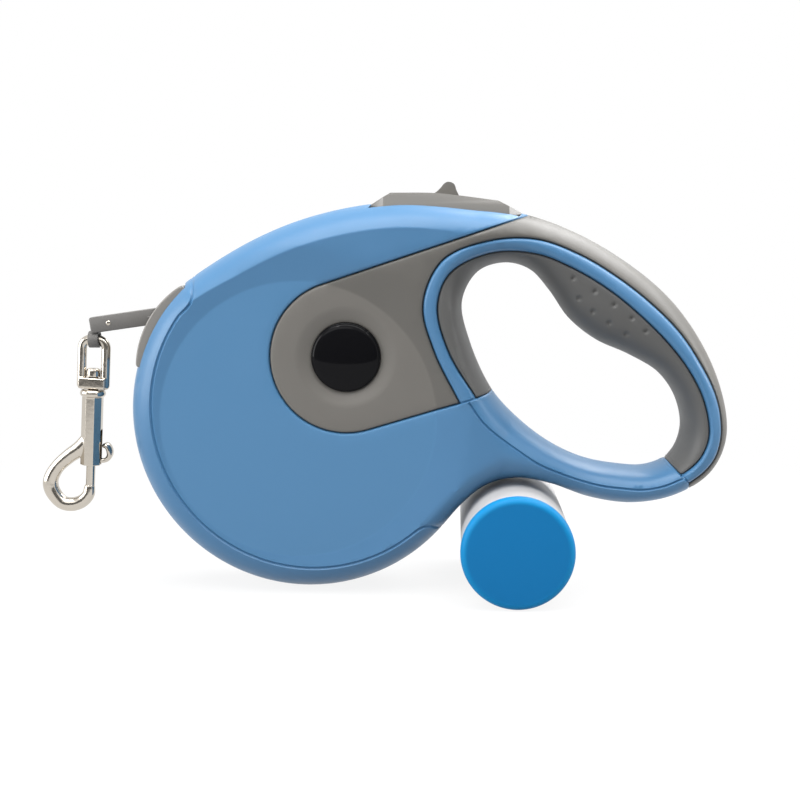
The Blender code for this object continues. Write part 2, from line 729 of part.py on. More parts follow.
def cover_zone(shrink):
    """Side view of the grey cover: round panel, flank and the back of the handle."""
    centre = PANEL_CENTRE
    tip = from_rear(COVER_TIP)
    waist = from_rear(BEAD_OUTER[0])
    upper = tangent_angle(centre, tip, PANEL_RADIUS, 1)
    lower = tangent_angle(centre, waist, PANEL_RADIUS, -1) + 2 * math.pi
    angles = np.linspace(upper, lower, 25)
    panel = centre + PANEL_RADIUS * np.column_stack([np.cos(angles), np.sin(angles)])
    bead = spline(from_rear(BEAD_OUTER), 4, False)
    loop = np.vstack([panel, bead, outside_handle(), [tip]])
    return offset_loop(resampled(loop, ZONE_STEP), -shrink)


def outside_handle():
    """Points clear of the casing, round the back of the handle from the heel to the top."""
    back = from_rear(BOW_AND_HEEL[2:] + HANDLE_BACK)
    middle = from_rear(HAND_HOLE).mean(axis=0)
    return middle + 1.2 * (back - middle)


def tangent_angle(centre, point, radius, side):
    """The angle at which a line from the point touches the circle, on its upper or lower side."""
    away = point - centre
    return math.atan2(away[1], away[0]) + side * math.acos(radius / np.linalg.norm(away))


def grip_zone(shrink):
    """Side view of the inner grip: from the bead to inside the hand hole."""
    bead = spline(from_rear(BEAD_INNER), 4, False)
    hole = from_rear(HAND_HOLE)
    grip_side = np.vstack([hole[10:], hole[:5]])
    within = grip_side + 0.4 * (hole.mean(axis=0) - grip_side)
    return offset_loop(resampled(np.vstack([bead, within]), ZONE_STEP), -shrink)


def skin_piece(name, zone, form, core):
    """The outer skin of the casing's form within a zone of the side view."""
    prism = plate("zone_" + name, zone, -3 * HOUSING_HALF_DEPTH, -GAP / 2)
    piece = joined(copied(form, name), prism, "INTERSECT")
    return joined(piece, copied(core, "core_" + name), "DIFFERENCE")


def nozzle_loop(grow):
    """Side view of the outlet: a band of the rim that stands proud and fades at both ends."""
    middle = math.degrees(math.atan2(*(TAPE_START + OUTWARD * TAPE_EXIT - REEL)[::-1]))
    half = NOZZLE_SPAN_DEG / 2 + math.degrees(grow / BODY_RADIUS)
    angles = np.radians(np.linspace(middle - half, middle + half, 15))
    share = (angles - angles[0]) / (angles[-1] - angles[0])
    swell = np.sin(np.pi * share) ** 0.35
    outer = BODY_RADIUS - NOZZLE_SUNK + (NOZZLE_PROUD + NOZZLE_SUNK) * swell + grow
    inner = np.full(len(angles), BODY_RADIUS - NOZZLE_DEPTH - grow)
    directions = np.column_stack([np.cos(angles), np.sin(angles)])
    return np.vstack([REEL + directions * outer[:, None], (REEL + directions * inner[:, None])[::-1]])


def strip_loop(start, end, height):
    """A straight strip along the tape's line, between two distances from where it leaves the roll."""
    rise = UPWARD * height / 2
    near, far = TAPE_START + OUTWARD * start, TAPE_START + OUTWARD * end
    return np.array([near - rise, near + rise, far + rise, far - rise])


def top_edge_height(x):
    """Height of the casing's top edge at a place along X."""
    upper = OUTLINE[OUTLINE[:, 1] > REEL_Z + 0.5 * BODY_RADIUS]
    upper = upper[np.argsort(upper[:, 0])]
    return float(np.interp(x, upper[:, 0], upper[:, 1]))


def button_top():
    """The button's upper line in the side view, which follows the casing's top edge."""
    ahead, rise = mm_points(BUTTON_RISES).T
    places = REEL_X + BODY_RADIUS + ahead
    return np.array([(x, top_edge_height(x) + up) for x, up in zip(places, rise)])


def button_foot():
    middle = button_top()[2:4, 0].mean()
    return top_edge_height(middle) - BUTTON_SKIRT


def button_loop():
    """Side view of the brake button, with its skirt inside the casing."""
    top = button_top()
    foot = np.array([[top[-1][0], button_foot()], [top[0][0], button_foot()]])
    return np.vstack([top, foot])


def core_with_foot(core):
    """The core, carried past the middle plane so that a cutter that it trims ends there."""
    foot = copied(core, "foot")
    form = bmesh.new()
    form.from_mesh(foot.data)
    for corner in form.verts:
        if corner.co.y > -GAP:
            corner.co.y = HOUSING_HALF_DEPTH
    form.to_mesh(foot.data)
    form.free()
    return foot


def make_half(form, core):
    """The front half of the casing, with its seats for the skins, nozzle, button and axle."""
    half = copied(form, "half")
    for zone in (cover_zone(0.0), grip_zone(0.0)):
        prism = plate("zone", zone, -3 * HOUSING_HALF_DEPTH, HOUSING_HALF_DEPTH)
        half = joined(half, joined(prism, core_with_foot(core), "DIFFERENCE"), "DIFFERENCE")
    cavity = half_form("cavity", CAVITY_INSET, 1.5 * OUTLINE_STEP, (0.3, 1.0), False)
    cavity.location.y = GAP
    half = joined(half, settled(cavity), "DIFFERENCE")
    reach = side_height_at(REEL) - CAVITY_INSET
    boss = AXLE_RADIUS + GAP + AXLE_BOSS_WALL
    half = joined(half, rod("boss", boss, -reach - WALL / 2, -FLANGE_OUTER - RUN_GAP, at(REEL)), "UNION")
    half = joined(half, rod("bore", AXLE_RADIUS + GAP, -reach, 0.0, at(REEL)), "DIFFERENCE")
    notch = plate("notch", nozzle_loop(GAP), -NOZZLE_HALF_WIDTH - GAP, NOZZLE_HALF_WIDTH)
    half = joined(half, notch, "DIFFERENCE")
    return joined(half, button_slot(), "DIFFERENCE")


def button_slot():
    """The room that the front half and the front cover leave for the brake button and its travel."""
    top = button_top()
    left, right = top[0][0] - RUN_GAP, top[-1][0] + RUN_GAP
    low = button_foot() - BUTTON_TRAVEL - RUN_GAP
    high = top[:, 1].max() + BUTTON_TRAVEL
    loop = [(left, low), (right, low), (right, high), (left, high)]
    return plate("slot", np.array(loop), -BUTTON_HALF_WIDTH - RUN_GAP, BUTTON_HALF_WIDTH)


def make_casing(parts):
    """Both halves with their screw bosses, the side covers, the inner grips and the badges."""
    rings = (0.07, 0.27, 0.58, 1.0)
    form = half_form("form", 0.0, OUTLINE_STEP, rings, True)
    core = half_form("core", COVER_INSET, OUTLINE_STEP, (0.25, 1.0), False)
    under = grown(core, "under", GAP)
    front = make_half(form, core)
    back = mirrored(front, "back")
    hole = SCREW_RADIUS + GAP
    for place in screw_places().values():
        wall = boss_reach(place)
        boss = rod("boss", BOSS_RADIUS, -wall, -GAP, at(place))
        front = joined(front, boss, "UNION")
        front = joined(front, rod("bore", hole, -SCREW_BITE - WALL, WALL, at(place)), "DIFFERENCE")
        back = joined(back, rod("boss", BOSS_RADIUS, GAP, wall, at(place)), "UNION")
        back = joined(back, rod("bore", hole, -WALL, wall, at(place)), "DIFFERENCE")
        sink = rod("sink", SCREW_HEAD_RADIUS + GAP, SCREW_SEAT, 3 * HOUSING_HALF_DEPTH, at(place))
        back = joined(back, sink, "DIFFERENCE")
    front.name = "casing_front"
    back.name = "casing_back"
    finish(simplified(front), "shell_blue", parts)
    finish(simplified(back), "shell_blue", parts)
    cover = simplified(make_cover(form, under))
    grip = simplified(skin_piece("inner_grip_front", grip_zone(GAP), form, under))
    for piece, slot in ((cover, "grip_grey"), (grip, "grip_grey"), (make_badge(), "badge_black")):
        finish(mirrored(piece, piece.name.replace("front", "back")), slot, parts)
        finish(piece, slot, parts)
    for helper in (form, core, under):
        bpy.data.objects.remove(helper)


def make_cover(form, under):
    """The side cover, with room for the button, the dish and the seat of the badge."""
    cover = skin_piece("side_cover_front", cover_zone(GAP), form, under)
    cover = joined(cover, button_slot(), "DIFFERENCE")
    face = side_height_at(PANEL_CENTRE) + GAP / 2
    sphere = (DISH_RADIUS ** 2 + DISH_DEPTH ** 2) / (2 * DISH_DEPTH)
    angles = np.linspace(0, math.asin(1.25 * DISH_RADIUS / sphere), 8)
    bowl = [(sphere * math.sin(a), DISH_DEPTH - sphere + sphere * math.cos(a)) for a in angles]
    bowl = [(radius, height - face) for radius, height in bowl]
    dish = turned("dish", bowl + [(0, bowl[-1][1])], TURNED_SIDES, at(PANEL_CENTRE))
    cover = joined(cover, dish, "DIFFERENCE")
    hole = rod("hole", BADGE_RADIUS + GAP, -face - SKIN, -face + 2 * SKIN, at(PANEL_CENTRE), TURNED_SIDES)
    return joined(cover, hole, "DIFFERENCE")


def make_badge():
    """A plain domed disc on the floor of the side cover's hole."""
    face = side_height_at(PANEL_CENTRE) + GAP / 2
    rim = face - DISH_DEPTH + GAP
    angles = np.linspace(0, math.pi / 2, 5)
    dome = [(BADGE_RADIUS * math.cos(a), -rim - BADGE_CROWN * math.sin(a)) for a in angles[:-1]]
    profile = [(0, -rim - BADGE_CROWN)] + dome[::-1] + [(BADGE_RADIUS, -face + SKIN), (0, -face + SKIN)]
    return turned("badge_front", profile, TURNED_SIDES, at(PANEL_CENTRE))


def make_screws(parts):
    for name, place in screw_places().items():
        seat = SCREW_SEAT + GAP
        top = seat + SCREW_HEAD_HEIGHT
        profile = [
            (0, top), (0.75 * SCREW_HEAD_RADIUS, top), (SCREW_HEAD_RADIUS, top - 0.3 * SCREW_HEAD_HEIGHT),
            (SCREW_HEAD_RADIUS, seat), (SCREW_RADIUS, seat), (SCREW_RADIUS, -SCREW_BITE + SCREW_RADIUS),
            (0, -SCREW_BITE),
        ]
        finish(turned("case_screw_" + name, profile, 12, at(place)), "steel", parts)


def make_nozzle(parts):
    nozzle = plate("outlet_nozzle", nozzle_loop(0.0), -NOZZLE_HALF_WIDTH, NOZZLE_HALF_WIDTH, NOZZLE_ROUND)
    slot = strip_loop(TAPE_EXIT - 3 * NOZZLE_DEPTH, TAPE_EXIT + 2 * NOZZLE_DEPTH, SLOT_HEIGHT)
    side = TAPE_HALF + RUN_GAP
    finish(joined(nozzle, plate("slot", slot, -side, side), "DIFFERENCE"), "trim_grey", parts)


def flange_loop():
    """The toothed flange seen from the side: a circle with round notches for the brake."""
    loop = []
    pitch = 2 * math.pi / RATCHET_NOTCHES
    half = math.asin(NOTCH_RADIUS / FLANGE_RADIUS)
    for i in range(RATCHET_NOTCHES):
        middle = notch_angle() + i * pitch
        centre = REEL + FLANGE_RADIUS * np.array([math.cos(middle), math.sin(middle)])
        for turn in np.linspace(-0.46 * math.pi, 0.46 * math.pi, 6):
            away = middle + math.pi - turn
            loop.append(centre + NOTCH_RADIUS * np.array([math.cos(away), math.sin(away)]))
        for angle in np.linspace(middle + half, middle + pitch - half, 4)[1:-1]:
            loop.append(REEL + FLANGE_RADIUS * np.array([math.cos(angle), math.sin(angle)]))
    return np.array(loop)


def notch_angle():
    """The angle of the notch that lies under the brake's plunger."""
    across = button_top()[0][0] + PLUNGER_WIDTH - REEL_X
    return math.acos(across / FLANGE_RADIUS)


def make_reel(parts):
    """Drum with its back flange, toothed front flange, spring cover, mainspring, bushes and roll."""
    bore = BUSH_RADIUS + GAP
    inner = DRUM_RADIUS - DRUM_WALL
    axis = axis_empty("reel_axis", at(REEL), parts)
    drum = [
        (bore, FLANGE_INNER), (bore, FLANGE_OUTER), (FLANGE_RADIUS, FLANGE_OUTER), (FLANGE_RADIUS, FLANGE_INNER),
        (DRUM_RADIUS, FLANGE_INNER), (DRUM_RADIUS, -FLANGE_OUTER), (inner, -FLANGE_OUTER), (inner, FLANGE_INNER),
    ]
    finish(turned("reel_drum", drum, TURNED_SIDES, at(REEL)), "inner_plastic", parts, axis)
    flange = plate("reel_flange", flange_loop(), -FLANGE_OUTER, -FLANGE_INNER)
    seat = rod("seat", DRUM_RADIUS + GAP, -2 * FLANGE_OUTER, 0.0, at(REEL), TURNED_SIDES)
    finish(joined(flange, seat, "DIFFERENCE"), "inner_plastic", parts, axis)
    lid = -FLANGE_OUTER + 0.75 * FLANGE_THICKNESS
    cover = ring("spring_cover", bore, inner - GAP, -FLANGE_OUTER, lid, at(REEL))
    finish(cover, "inner_plastic", parts, axis)
    finish(make_mainspring(bore + GAP, inner - GAP, lid + GAP, FLANGE_INNER - GAP), "steel", parts, axis)
    proud = RUN_GAP - GAP
    for name, low, high in (
        ("axle_bush_front", -FLANGE_OUTER - proud, lid),
        ("axle_bush_back", FLANGE_INNER, FLANGE_OUTER + proud),
    ):
        bush = ring(name, AXLE_RADIUS + GAP, BUSH_RADIUS, low, high, at(REEL), 24)
        finish(bush, "steel", parts, axis)
    roll = ring("leash_roll", DRUM_RADIUS + GAP, ROLL_RADIUS, -TAPE_HALF, TAPE_HALF, at(REEL))
    finish(roll, "tape_grey", parts, axis)
    end = side_height_at(REEL) - CAVITY_INSET - GAP
    finish(rod("axle", AXLE_RADIUS, -end, end, at(REEL), 24), "steel", parts)


def make_mainspring(inner, outer, low, high):
    """A flat spiral strip from the axle to the wall of the drum, as one unbroken band."""
    count = 12 * MAINSPRING_TURNS
    angles = np.linspace(0, 2 * math.pi * MAINSPRING_TURNS, count + 1)
    radii = np.linspace(inner, outer - MAINSPRING_THICKNESS, count + 1)
    directions = np.column_stack([np.cos(angles), np.sin(angles)])
    near = REEL + directions * radii[:, None]
    far = REEL + directions * (radii + MAINSPRING_THICKNESS)[:, None]
    least = (outer - MAINSPRING_THICKNESS - inner) / MAINSPRING_TURNS - MAINSPRING_THICKNESS
    print(f"mainspring: {MAINSPRING_TURNS} turns, least gap to itself {least / MM:.2f} mm")
    return plate("mainspring", np.vstack([far, near[::-1]]), low, high)


def on_circle(radius, height):
    """Distance along the tape's line at which a strip edge at this height meets a circle round the reel."""
    return math.sqrt(radius ** 2 - (TAPE_OFFSET + height) ** 2)


def pivot_place():
    """Middle of the eye's bar, under the end of the sewn sleeve."""
    along = TAPE_EXIT + SLEEVE_LENGTH - SLEEVE_LOOP_WALL
    below = SLEEVE_HEIGHT / 2 + EYE_BAR_RADIUS + RUN_GAP
    return TAPE_START + OUTWARD * along - UPWARD * below


def make_tape(parts):
    """The straight tape from the roll through the outlet, and its stiff sewn end with a loop."""
    strip = strip_loop(2 * GAP, TAPE_EXIT + GAP, TAPE_THICKNESS)
    finish(plate("leash_tape", strip, -TAPE_HALF, TAPE_HALF), "tape_grey", parts)
    half = SLEEVE_HEIGHT / 2
    stop = NOZZLE_RADIUS + 2 * GAP
    corners = [(on_circle(stop, -half), -half), (on_circle(stop, half), half)]
    far = TAPE_EXIT + SLEEVE_LENGTH
    corners += [(far, half), (far, -half)]
    loop = np.array([TAPE_START + OUTWARD * along + UPWARD * up for along, up in corners])
    sleeve = plate("end_sleeve", loop, -SLEEVE_WIDTH / 2, SLEEVE_WIDTH / 2, SLEEVE_ROUND)
    bore = EYE_BAR_RADIUS + GAP
    pivot = at(pivot_place())
    wide = SLEEVE_LOOP_WIDTH / 2
    loop = ring("loop", 0.8 * bore, bore + SLEEVE_LOOP_WALL, -wide, wide, pivot, 20, "X")
    sleeve = joined(sleeve, loop, "UNION")
    sleeve = joined(sleeve, rod("eye", bore, -2 * wide, 2 * wide, pivot, 20, "X"), "DIFFERENCE")
    rivet = TAPE_START + OUTWARD * (far - RIVET_FROM_END)
    shank = 0.6 * RIVET_RADIUS
    hole = rod("hole", shank + GAP, -SLEEVE_WIDTH, SLEEVE_WIDTH, at(rivet), 12)
    finish(joined(sleeve, hole, "DIFFERENCE"), "tape_grey", parts)
    seat = SLEEVE_WIDTH / 2 + GAP / 2
    head = shank + GAP + 0.5 * RIVET_RADIUS
    profile = [(0, seat + RIVET_PROUD), (0.7 * head, seat + RIVET_PROUD), (head, seat), (shank, seat)]
    profile += [(radius, -height) for radius, height in profile[::-1]]
    finish(turned("sleeve_rivet", profile, 12, at(rivet)), "nickel", parts)


class Snap:
    """Heights of the bolt snap below the bar of its eye."""

    base = -EYE_LENGTH
    collar = base - EYE_BASE_HEIGHT - GAP
    barrel = collar - COLLAR_HEIGHT
    foot = barrel - BARREL_LENGTH
    lever = foot + LEVER_RISE
    bore_top = foot + BOLT_GUIDE + BOLT_TRAVEL + SPRING_PACKED


def make_eye():
    low = Snap.base - EYE_BASE_HEIGHT / 2
    reach = EYE_HALF_WIDTH - EYE_CORNER
    turn = np.linspace(math.pi, math.pi / 2, 5)
    left = [(-reach + EYE_CORNER * math.cos(a), 0, -EYE_CORNER + EYE_CORNER * math.sin(a)) for a in turn]
    path = [(-EYE_HALF_WIDTH, 0, low)] + left
    path += [(-x, y, z) for x, y, z in path[::-1]]
    eye = tube("swivel_eye", path, [EYE_BAR_RADIUS] * len(path), 3)
    wide = EYE_HALF_WIDTH + EYE_BAR_RADIUS / 2
    base = block("base", (-wide, -EYE_BASE_DEPTH / 2, Snap.base - EYE_BASE_HEIGHT),
                 (wide, EYE_BASE_DEPTH / 2, Snap.base))
    eye = joined(eye, base, "UNION")
    bore = rod("bore", STEM_RADIUS + GAP, Snap.collar - GAP, Snap.base + GAP, (0, 0, 0), SMALL_SIDES, "Z")
    return joined(eye, bore, "DIFFERENCE")


def make_hook():
    """Stem, collar and barrel turned in one, with the bent hook and the slot of the thumb lever."""
    seat = Snap.base + GAP
    bore = BOLT_RADIUS + GAP
    top = seat + STEM_HEAD_HEIGHT
    profile = [
        (0, top), (0.6 * STEM_HEAD_RADIUS, top), (STEM_HEAD_RADIUS, top - 0.4 * STEM_HEAD_HEIGHT),
        (STEM_HEAD_RADIUS, seat), (STEM_RADIUS, seat), (STEM_RADIUS, Snap.collar), (COLLAR_RADIUS, Snap.collar),
        (COLLAR_RADIUS, Snap.barrel), (BARREL_RADIUS, Snap.barrel), (BARREL_RADIUS, Snap.foot),
        (bore, Snap.foot), (bore, Snap.bore_top), (0, Snap.bore_top),
    ]
    body = turned("hook_body", profile, SMALL_SIDES, (0, 0, 0), "Z")
    bend = [(x, 0, Snap.foot - down) for x, down in mm_points(HOOK_BEND)]
    tip = Snap.foot - BOLT_REACH - GAP
    bend += [(GAP, 0, tip - 1.6 * HOOK_TIP_RADIUS), (GAP, 0, tip)]
    path = spline(bend, 3, False)
    share = np.linspace(0, 1, len(path))
    radii = HOOK_RADIUS + (HOOK_TIP_RADIUS - HOOK_RADIUS) * smooth_step(share, 0.45, 1.0)
    hook = tube("hook", path, radii, 2)
    guard = rod("guard", bore, Snap.foot - GAP, Snap.foot + BOLT_GUIDE, (0, 0, 0), SMALL_SIDES, "Z")
    body = joined(body, joined(hook, guard, "DIFFERENCE"), "UNION")
    side = LEVER_RADIUS + GAP
    slot = block("slot", (0, -side, Snap.lever - side),
                 (2 * BARREL_RADIUS, side, Snap.lever + BOLT_TRAVEL + side))
    return joined(body, slot, "DIFFERENCE")


def make_bolt():
    """The sliding bolt with its curled thumb lever."""
    low = Snap.foot - BOLT_REACH
    bolt = rod("hook_bolt", BOLT_RADIUS, low, Snap.foot + BOLT_GUIDE, (0, 0, 0), 14, "Z")
    stem = [(0, 0, Snap.lever), (LEVER_REACH - LEVER_RADIUS, 0, Snap.lever)]
    bolt = joined(bolt, tube("stem", stem, [0.85 * LEVER_RADIUS] * 2, 2), "UNION")
    out = LEVER_REACH - LEVER_RADIUS
    curl = spline([(out - LEVER_CURL, 0, Snap.lever - LEVER_HALF_HEIGHT), (out, 0, Snap.lever),
                   (out - LEVER_CURL, 0, Snap.lever + LEVER_HALF_HEIGHT)], 3, False)
    return joined(bolt, tube("curl", curl, [LEVER_RADIUS] * len(curl), 2), "UNION")


def helix(name, radius, wire, low, high, turns, place):
    """A coil spring with its axis upright."""
    count = 8 * turns
    angles = np.linspace(0, 2 * math.pi * turns, count + 1)
    heights = np.linspace(low + wire, high - wire, count + 1)
    path = [(place[0] + radius * math.cos(a), place[1] + radius * math.sin(a), h) for a, h in zip(angles, heights)]
    print(f"{name}: {turns} turns, least gap to itself {((high - low) / turns - 2 * wire) / MM:.2f} mm")
    return tube(name, path, [wire] * len(path), 1)


def make_snap(parts):
    """The bolt snap, hung from the sleeve's loop at a slight tilt."""
    axis = axis_empty("snap_axis", at(pivot_place()), parts, math.radians(SNAP_TILT_DEG))
    spring = helix("bolt_spring", 0.75 * BOLT_RADIUS, BOLT_SPRING_WIRE, Snap.foot + BOLT_GUIDE + GAP,
                   Snap.bore_top - GAP, BOLT_SPRING_TURNS, (0, 0))
    pieces = ((make_eye(), "nickel"), (make_hook(), "nickel"), (make_bolt(), "nickel"), (spring, "steel"))
    for piece, slot in pieces:
        finish(piece, slot, parts)
        piece.parent = axis


def tab_slope():
    """Unit vector along the button's top under the lock tab, towards the snap."""
    start, end = button_top()[2:4]
    return (start - end) / np.linalg.norm(start - end)


def tab_loop(start, end, low, high):
    """A strip along the button's top, between two distances from the tab's middle."""
    slope = tab_slope()
    up = np.array([slope[1], -slope[0]])
    top = button_top()
    place = REEL_X + BODY_RADIUS - TAB_AHEAD
    middle = np.array([place, np.interp(place, top[:, 0], top[:, 1])])
    corners = ((start, low), (start, high), (end, high), (end, low))
    return np.array([middle + slope * along + up * rise for along, rise in corners])


def make_brake(parts):
    """Thumb button, lock tab, plunger and return spring."""
    half = TAB_LENGTH / 2
    button = plate("brake_button", button_loop(), -BUTTON_HALF_WIDTH, BUTTON_HALF_WIDTH, BUTTON_ROUND)
    track = tab_loop(-half - GAP, half + TAB_TRAVEL + GAP, -TAB_GROOVE, 4 * TAB_GROOVE)
    side = TAB_WIDTH / 2
    button = joined(button, plate("track", track, -side - GAP, side + GAP), "DIFFERENCE")
    finish(button, "trim_grey", parts)
    foot = tab_loop(-half, half, GAP - TAB_GROOVE, 0.5 * GAP)
    peak = tab_loop(-0.35 * half, 0.1 * half, TAB_HEIGHT, TAB_HEIGHT)
    loop = np.vstack([foot[:2], peak[:1], peak[2:3], foot[2:]])
    finish(plate("lock_tab", loop, -side, side, TAB_ROUND), "trim_grey", parts)
    angle = notch_angle()
    radius = PLUNGER_WIDTH / 2
    centre = REEL + FLANGE_RADIUS * np.array([math.cos(angle), math.sin(angle)])
    clear = math.sqrt((FLANGE_RADIUS + radius + RUN_GAP) ** 2 - (centre[0] - REEL_X) ** 2)
    tip = np.array([centre[0], REEL_Z + clear])
    turn = np.linspace(math.pi, 2 * math.pi, 7)
    round_end = tip + radius * np.column_stack([np.cos(turn), np.sin(turn)])
    top = button_foot() - GAP
    loop = np.vstack([round_end, [(tip[0] + radius, top), (tip[0] - radius, top)]])
    middle = -(FLANGE_INNER + FLANGE_OUTER) / 2
    plunger = plate("brake_plunger", loop, middle - PLUNGER_DEPTH / 2, middle + PLUNGER_DEPTH / 2)
    finish(plunger, "inner_plastic", parts)
    seat = from_rear(HAND_HOLE)[0]
    low = seat[1] + CAVITY_INSET + RUN_GAP + GAP
    spring = helix("brake_spring", BRAKE_SPRING_RADIUS, BRAKE_SPRING_WIRE, low, button_foot() - GAP,
                   BRAKE_SPRING_TURNS, (seat[0], 0))
    finish(spring, "steel", parts)


def make_dispenser(parts):
    """A cup on its side with a slot for the bags, and a plug cap on its open front."""
    place = (DISPENSER_X, 0, DISPENSER_RADIUS)
    axis = axis_empty("dispenser_axis", place, parts)
    half = DISPENSER_LENGTH / 2
    inner = DISPENSER_RADIUS - DISPENSER_WALL
    open_end = -half + CAP_THICKNESS + GAP
    turn = np.linspace(0, math.pi / 2, 4)
    edge = [(DISPENSER_RADIUS - CAP_ROUND + CAP_ROUND * math.cos(a), half - CAP_ROUND + CAP_ROUND * math.sin(a))
            for a in turn]
    floor = half - DISPENSER_WALL
    profile = [(DISPENSER_RADIUS, open_end)] + edge + [(0, half), (0, floor), (inner, floor), (inner, open_end)]
    barrel = turned("dispenser_barrel", profile, 40, place)
    slot = block("slot", (0, -BAG_SLOT_LENGTH / 2, -BAG_SLOT_WIDTH / 2),
                 (2 * DISPENSER_RADIUS, BAG_SLOT_LENGTH / 2, BAG_SLOT_WIDTH / 2))
    slot.matrix_world = Matrix.Translation(place) @ Matrix.Rotation(-math.radians(BAG_SLOT_ANGLE_DEG), 4, "Y")
    finish(joined(barrel, settled(slot), "DIFFERENCE"), "dispenser_grey", parts, axis)
    plug = inner - GAP
    edge = [(DISPENSER_RADIUS - CAP_ROUND + CAP_ROUND * math.cos(a), -half + CAP_ROUND - CAP_ROUND * math.sin(a))
            for a in turn]
    back = -half + CAP_THICKNESS
    end = back + CAP_PLUG_LENGTH
    hollow = plug - CAP_PLUG_WALL
    profile = [(0, -half)] + edge[::-1] + [(DISPENSER_RADIUS, back), (plug, back), (plug, end), (hollow, end),
                                           (hollow, back), (0, back)]
    finish(turned("dispenser_cap", profile, 40, place), "cap_blue", parts, axis)


def main():
    for obj in list(bpy.data.objects):
        bpy.data.objects.remove(obj)
    parts = bpy.data.collections.new("retractable_leash")
    bpy.context.scene.collection.children.link(parts)
    make_casing(parts)
    make_screws(parts)
    make_nozzle(parts)
    make_reel(parts)
    make_tape(parts)
    make_snap(parts)
    make_brake(parts)
    make_dispenser(parts)


main()
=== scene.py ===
"""Looks of the retractable leash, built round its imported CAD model, in metres and in the same frame."""
import math

import bmesh
import bpy
import numpy as np
from mathutils import Matrix, Vector
from mathutils.geometry import delaunay_2d_cdt


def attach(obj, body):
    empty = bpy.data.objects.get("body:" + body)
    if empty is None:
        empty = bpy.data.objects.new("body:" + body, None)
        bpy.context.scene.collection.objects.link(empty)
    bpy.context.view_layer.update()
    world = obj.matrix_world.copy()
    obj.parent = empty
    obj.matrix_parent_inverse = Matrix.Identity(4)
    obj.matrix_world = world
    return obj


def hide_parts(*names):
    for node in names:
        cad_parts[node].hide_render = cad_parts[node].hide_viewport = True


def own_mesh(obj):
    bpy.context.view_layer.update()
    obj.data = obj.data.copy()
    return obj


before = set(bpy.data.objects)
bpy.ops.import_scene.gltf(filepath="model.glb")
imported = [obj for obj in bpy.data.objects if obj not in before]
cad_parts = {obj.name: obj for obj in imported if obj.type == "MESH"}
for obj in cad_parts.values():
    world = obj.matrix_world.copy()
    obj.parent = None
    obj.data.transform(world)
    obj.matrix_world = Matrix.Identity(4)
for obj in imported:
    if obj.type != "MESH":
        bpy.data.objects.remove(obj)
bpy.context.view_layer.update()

MM = 0.001
GAP = 0.3 * MM
RUN_GAP = 0.5 * MM

# Sizes shared with the CAD model
REEL_X = -22.3 * MM
FLANGE_RADIUS = 46.0 * MM
BODY_RADIUS = 57.0 * MM
HOUSING_HALF_DEPTH = 17.0 * MM
HANDLE_HALF_DEPTH = 13.5 * MM
TAPER_START = 42.0 * MM
TAPER_LENGTH = 50.0 * MM
DRUM_ARC_DEG = (133.0, 318.0)
BOW_AND_HEEL = [(90.3, -27.3), (104.3, -29.1), (118.3, -26.2), (129.3, -18.8), (134.1, -7.0)]
HANDLE_BACK = [(130.3, 12.5), (116.7, 34.8), (95.3, 51.8), (71.5, 62.4)]
TOP_BACK = [(48.8, 65.7), (27.3, 66.9)]
TOP_EDGE = [(87.3, 5.9), (107.9, 0.6)]
HAND_HOLE = [
    (63.1, 47.8), (54.3, 45.0), (49.3, 35.5), (51.9, 22.5), (59.3, 6.7), (68.3, -3.0),
    (78.3, -10.4), (88.8, -15.2), (99.3, -17.2), (109.3, -17.5), (116.6, -14.0), (120.0, -5.5),
    (118.1, 4.5), (112.3, 12.8), (102.7, 18.6), (92.0, 23.4), (83.3, 30.3), (77.1, 39.0), (70.9, 45.6),
]
BEAD_OUTER = [
    (48.7, 4.5), (40.6, 20.8), (37.2, 35.2), (43.2, 48.7), (57.2, 54.6), (72.1, 55.1),
    (85.9, 50.2), (98.1, 42.9), (108.8, 34.5), (117.2, 26.0), (123.4, 16.9), (127.9, 8.5),
    (130.2, 0.8), (130.6, -6.8), (129.1, -13.0), (125.7, -17.5), (121.1, -21.0),
]
BEAD_INNER = [
    (53.7, 6.1), (45.0, 20.8), (41.6, 34.5), (45.5, 44.8), (58.3, 51.0), (72.1, 50.7),
    (82.8, 46.6), (94.3, 39.9), (104.2, 32.0), (113.4, 23.0), (119.5, 15.3), (124.1, 6.9),
    (126.3, -0.7), (126.6, -6.8), (124.6, -12.4), (121.9, -15.7), (118.4, -18.5),
]
WAIST = [(-16.2, -7.8), (-9.2, -2.4), (0.0, 0.0), (10.8, -1.6)]
COVER_TIP = (70.7, 62.8)
PANEL_PLACE = (13.1, 18.6)
PANEL_RADIUS = 23.8 * MM
DISH_RADIUS = 15.7 * MM
DISH_DEPTH = 1.1 * MM
BADGE_RADIUS = 10.8 * MM
BADGE_CROWN = 1.9 * MM
SKIN = 2.0 * MM

TAPE_WIDTH = 12.0 * MM
TAPE_THICKNESS = 0.65 * MM
TAPE_ANGLE = math.radians(8.3)
DRUM_RADIUS = 17.8 * MM
ROLL_RADIUS = 36.7 * MM
NOZZLE_PROUD = 2.3 * MM
NOZZLE_DEPTH = 5.6 * MM
NOZZLE_SUNK = 0.6 * MM
NOZZLE_SPAN_DEG = 31.0
NOZZLE_HALF_WIDTH = 10.0 * MM
SLOT_HEIGHT = 1.9 * MM
SLEEVE_LENGTH = 21.0 * MM
SLEEVE_HEIGHT = 5.2 * MM
SLEEVE_WIDTH = 5.4 * MM
SLEEVE_LOOP_WIDTH = 3.4 * MM
SLEEVE_SHORT = 0.7 * MM
SLEEVE_LOOP_WALL = 0.9 * MM
RIVET_FROM_END = 7.0 * MM

SNAP_TILT_DEG = 3.3
EYE_BAR_RADIUS = 1.55 * MM

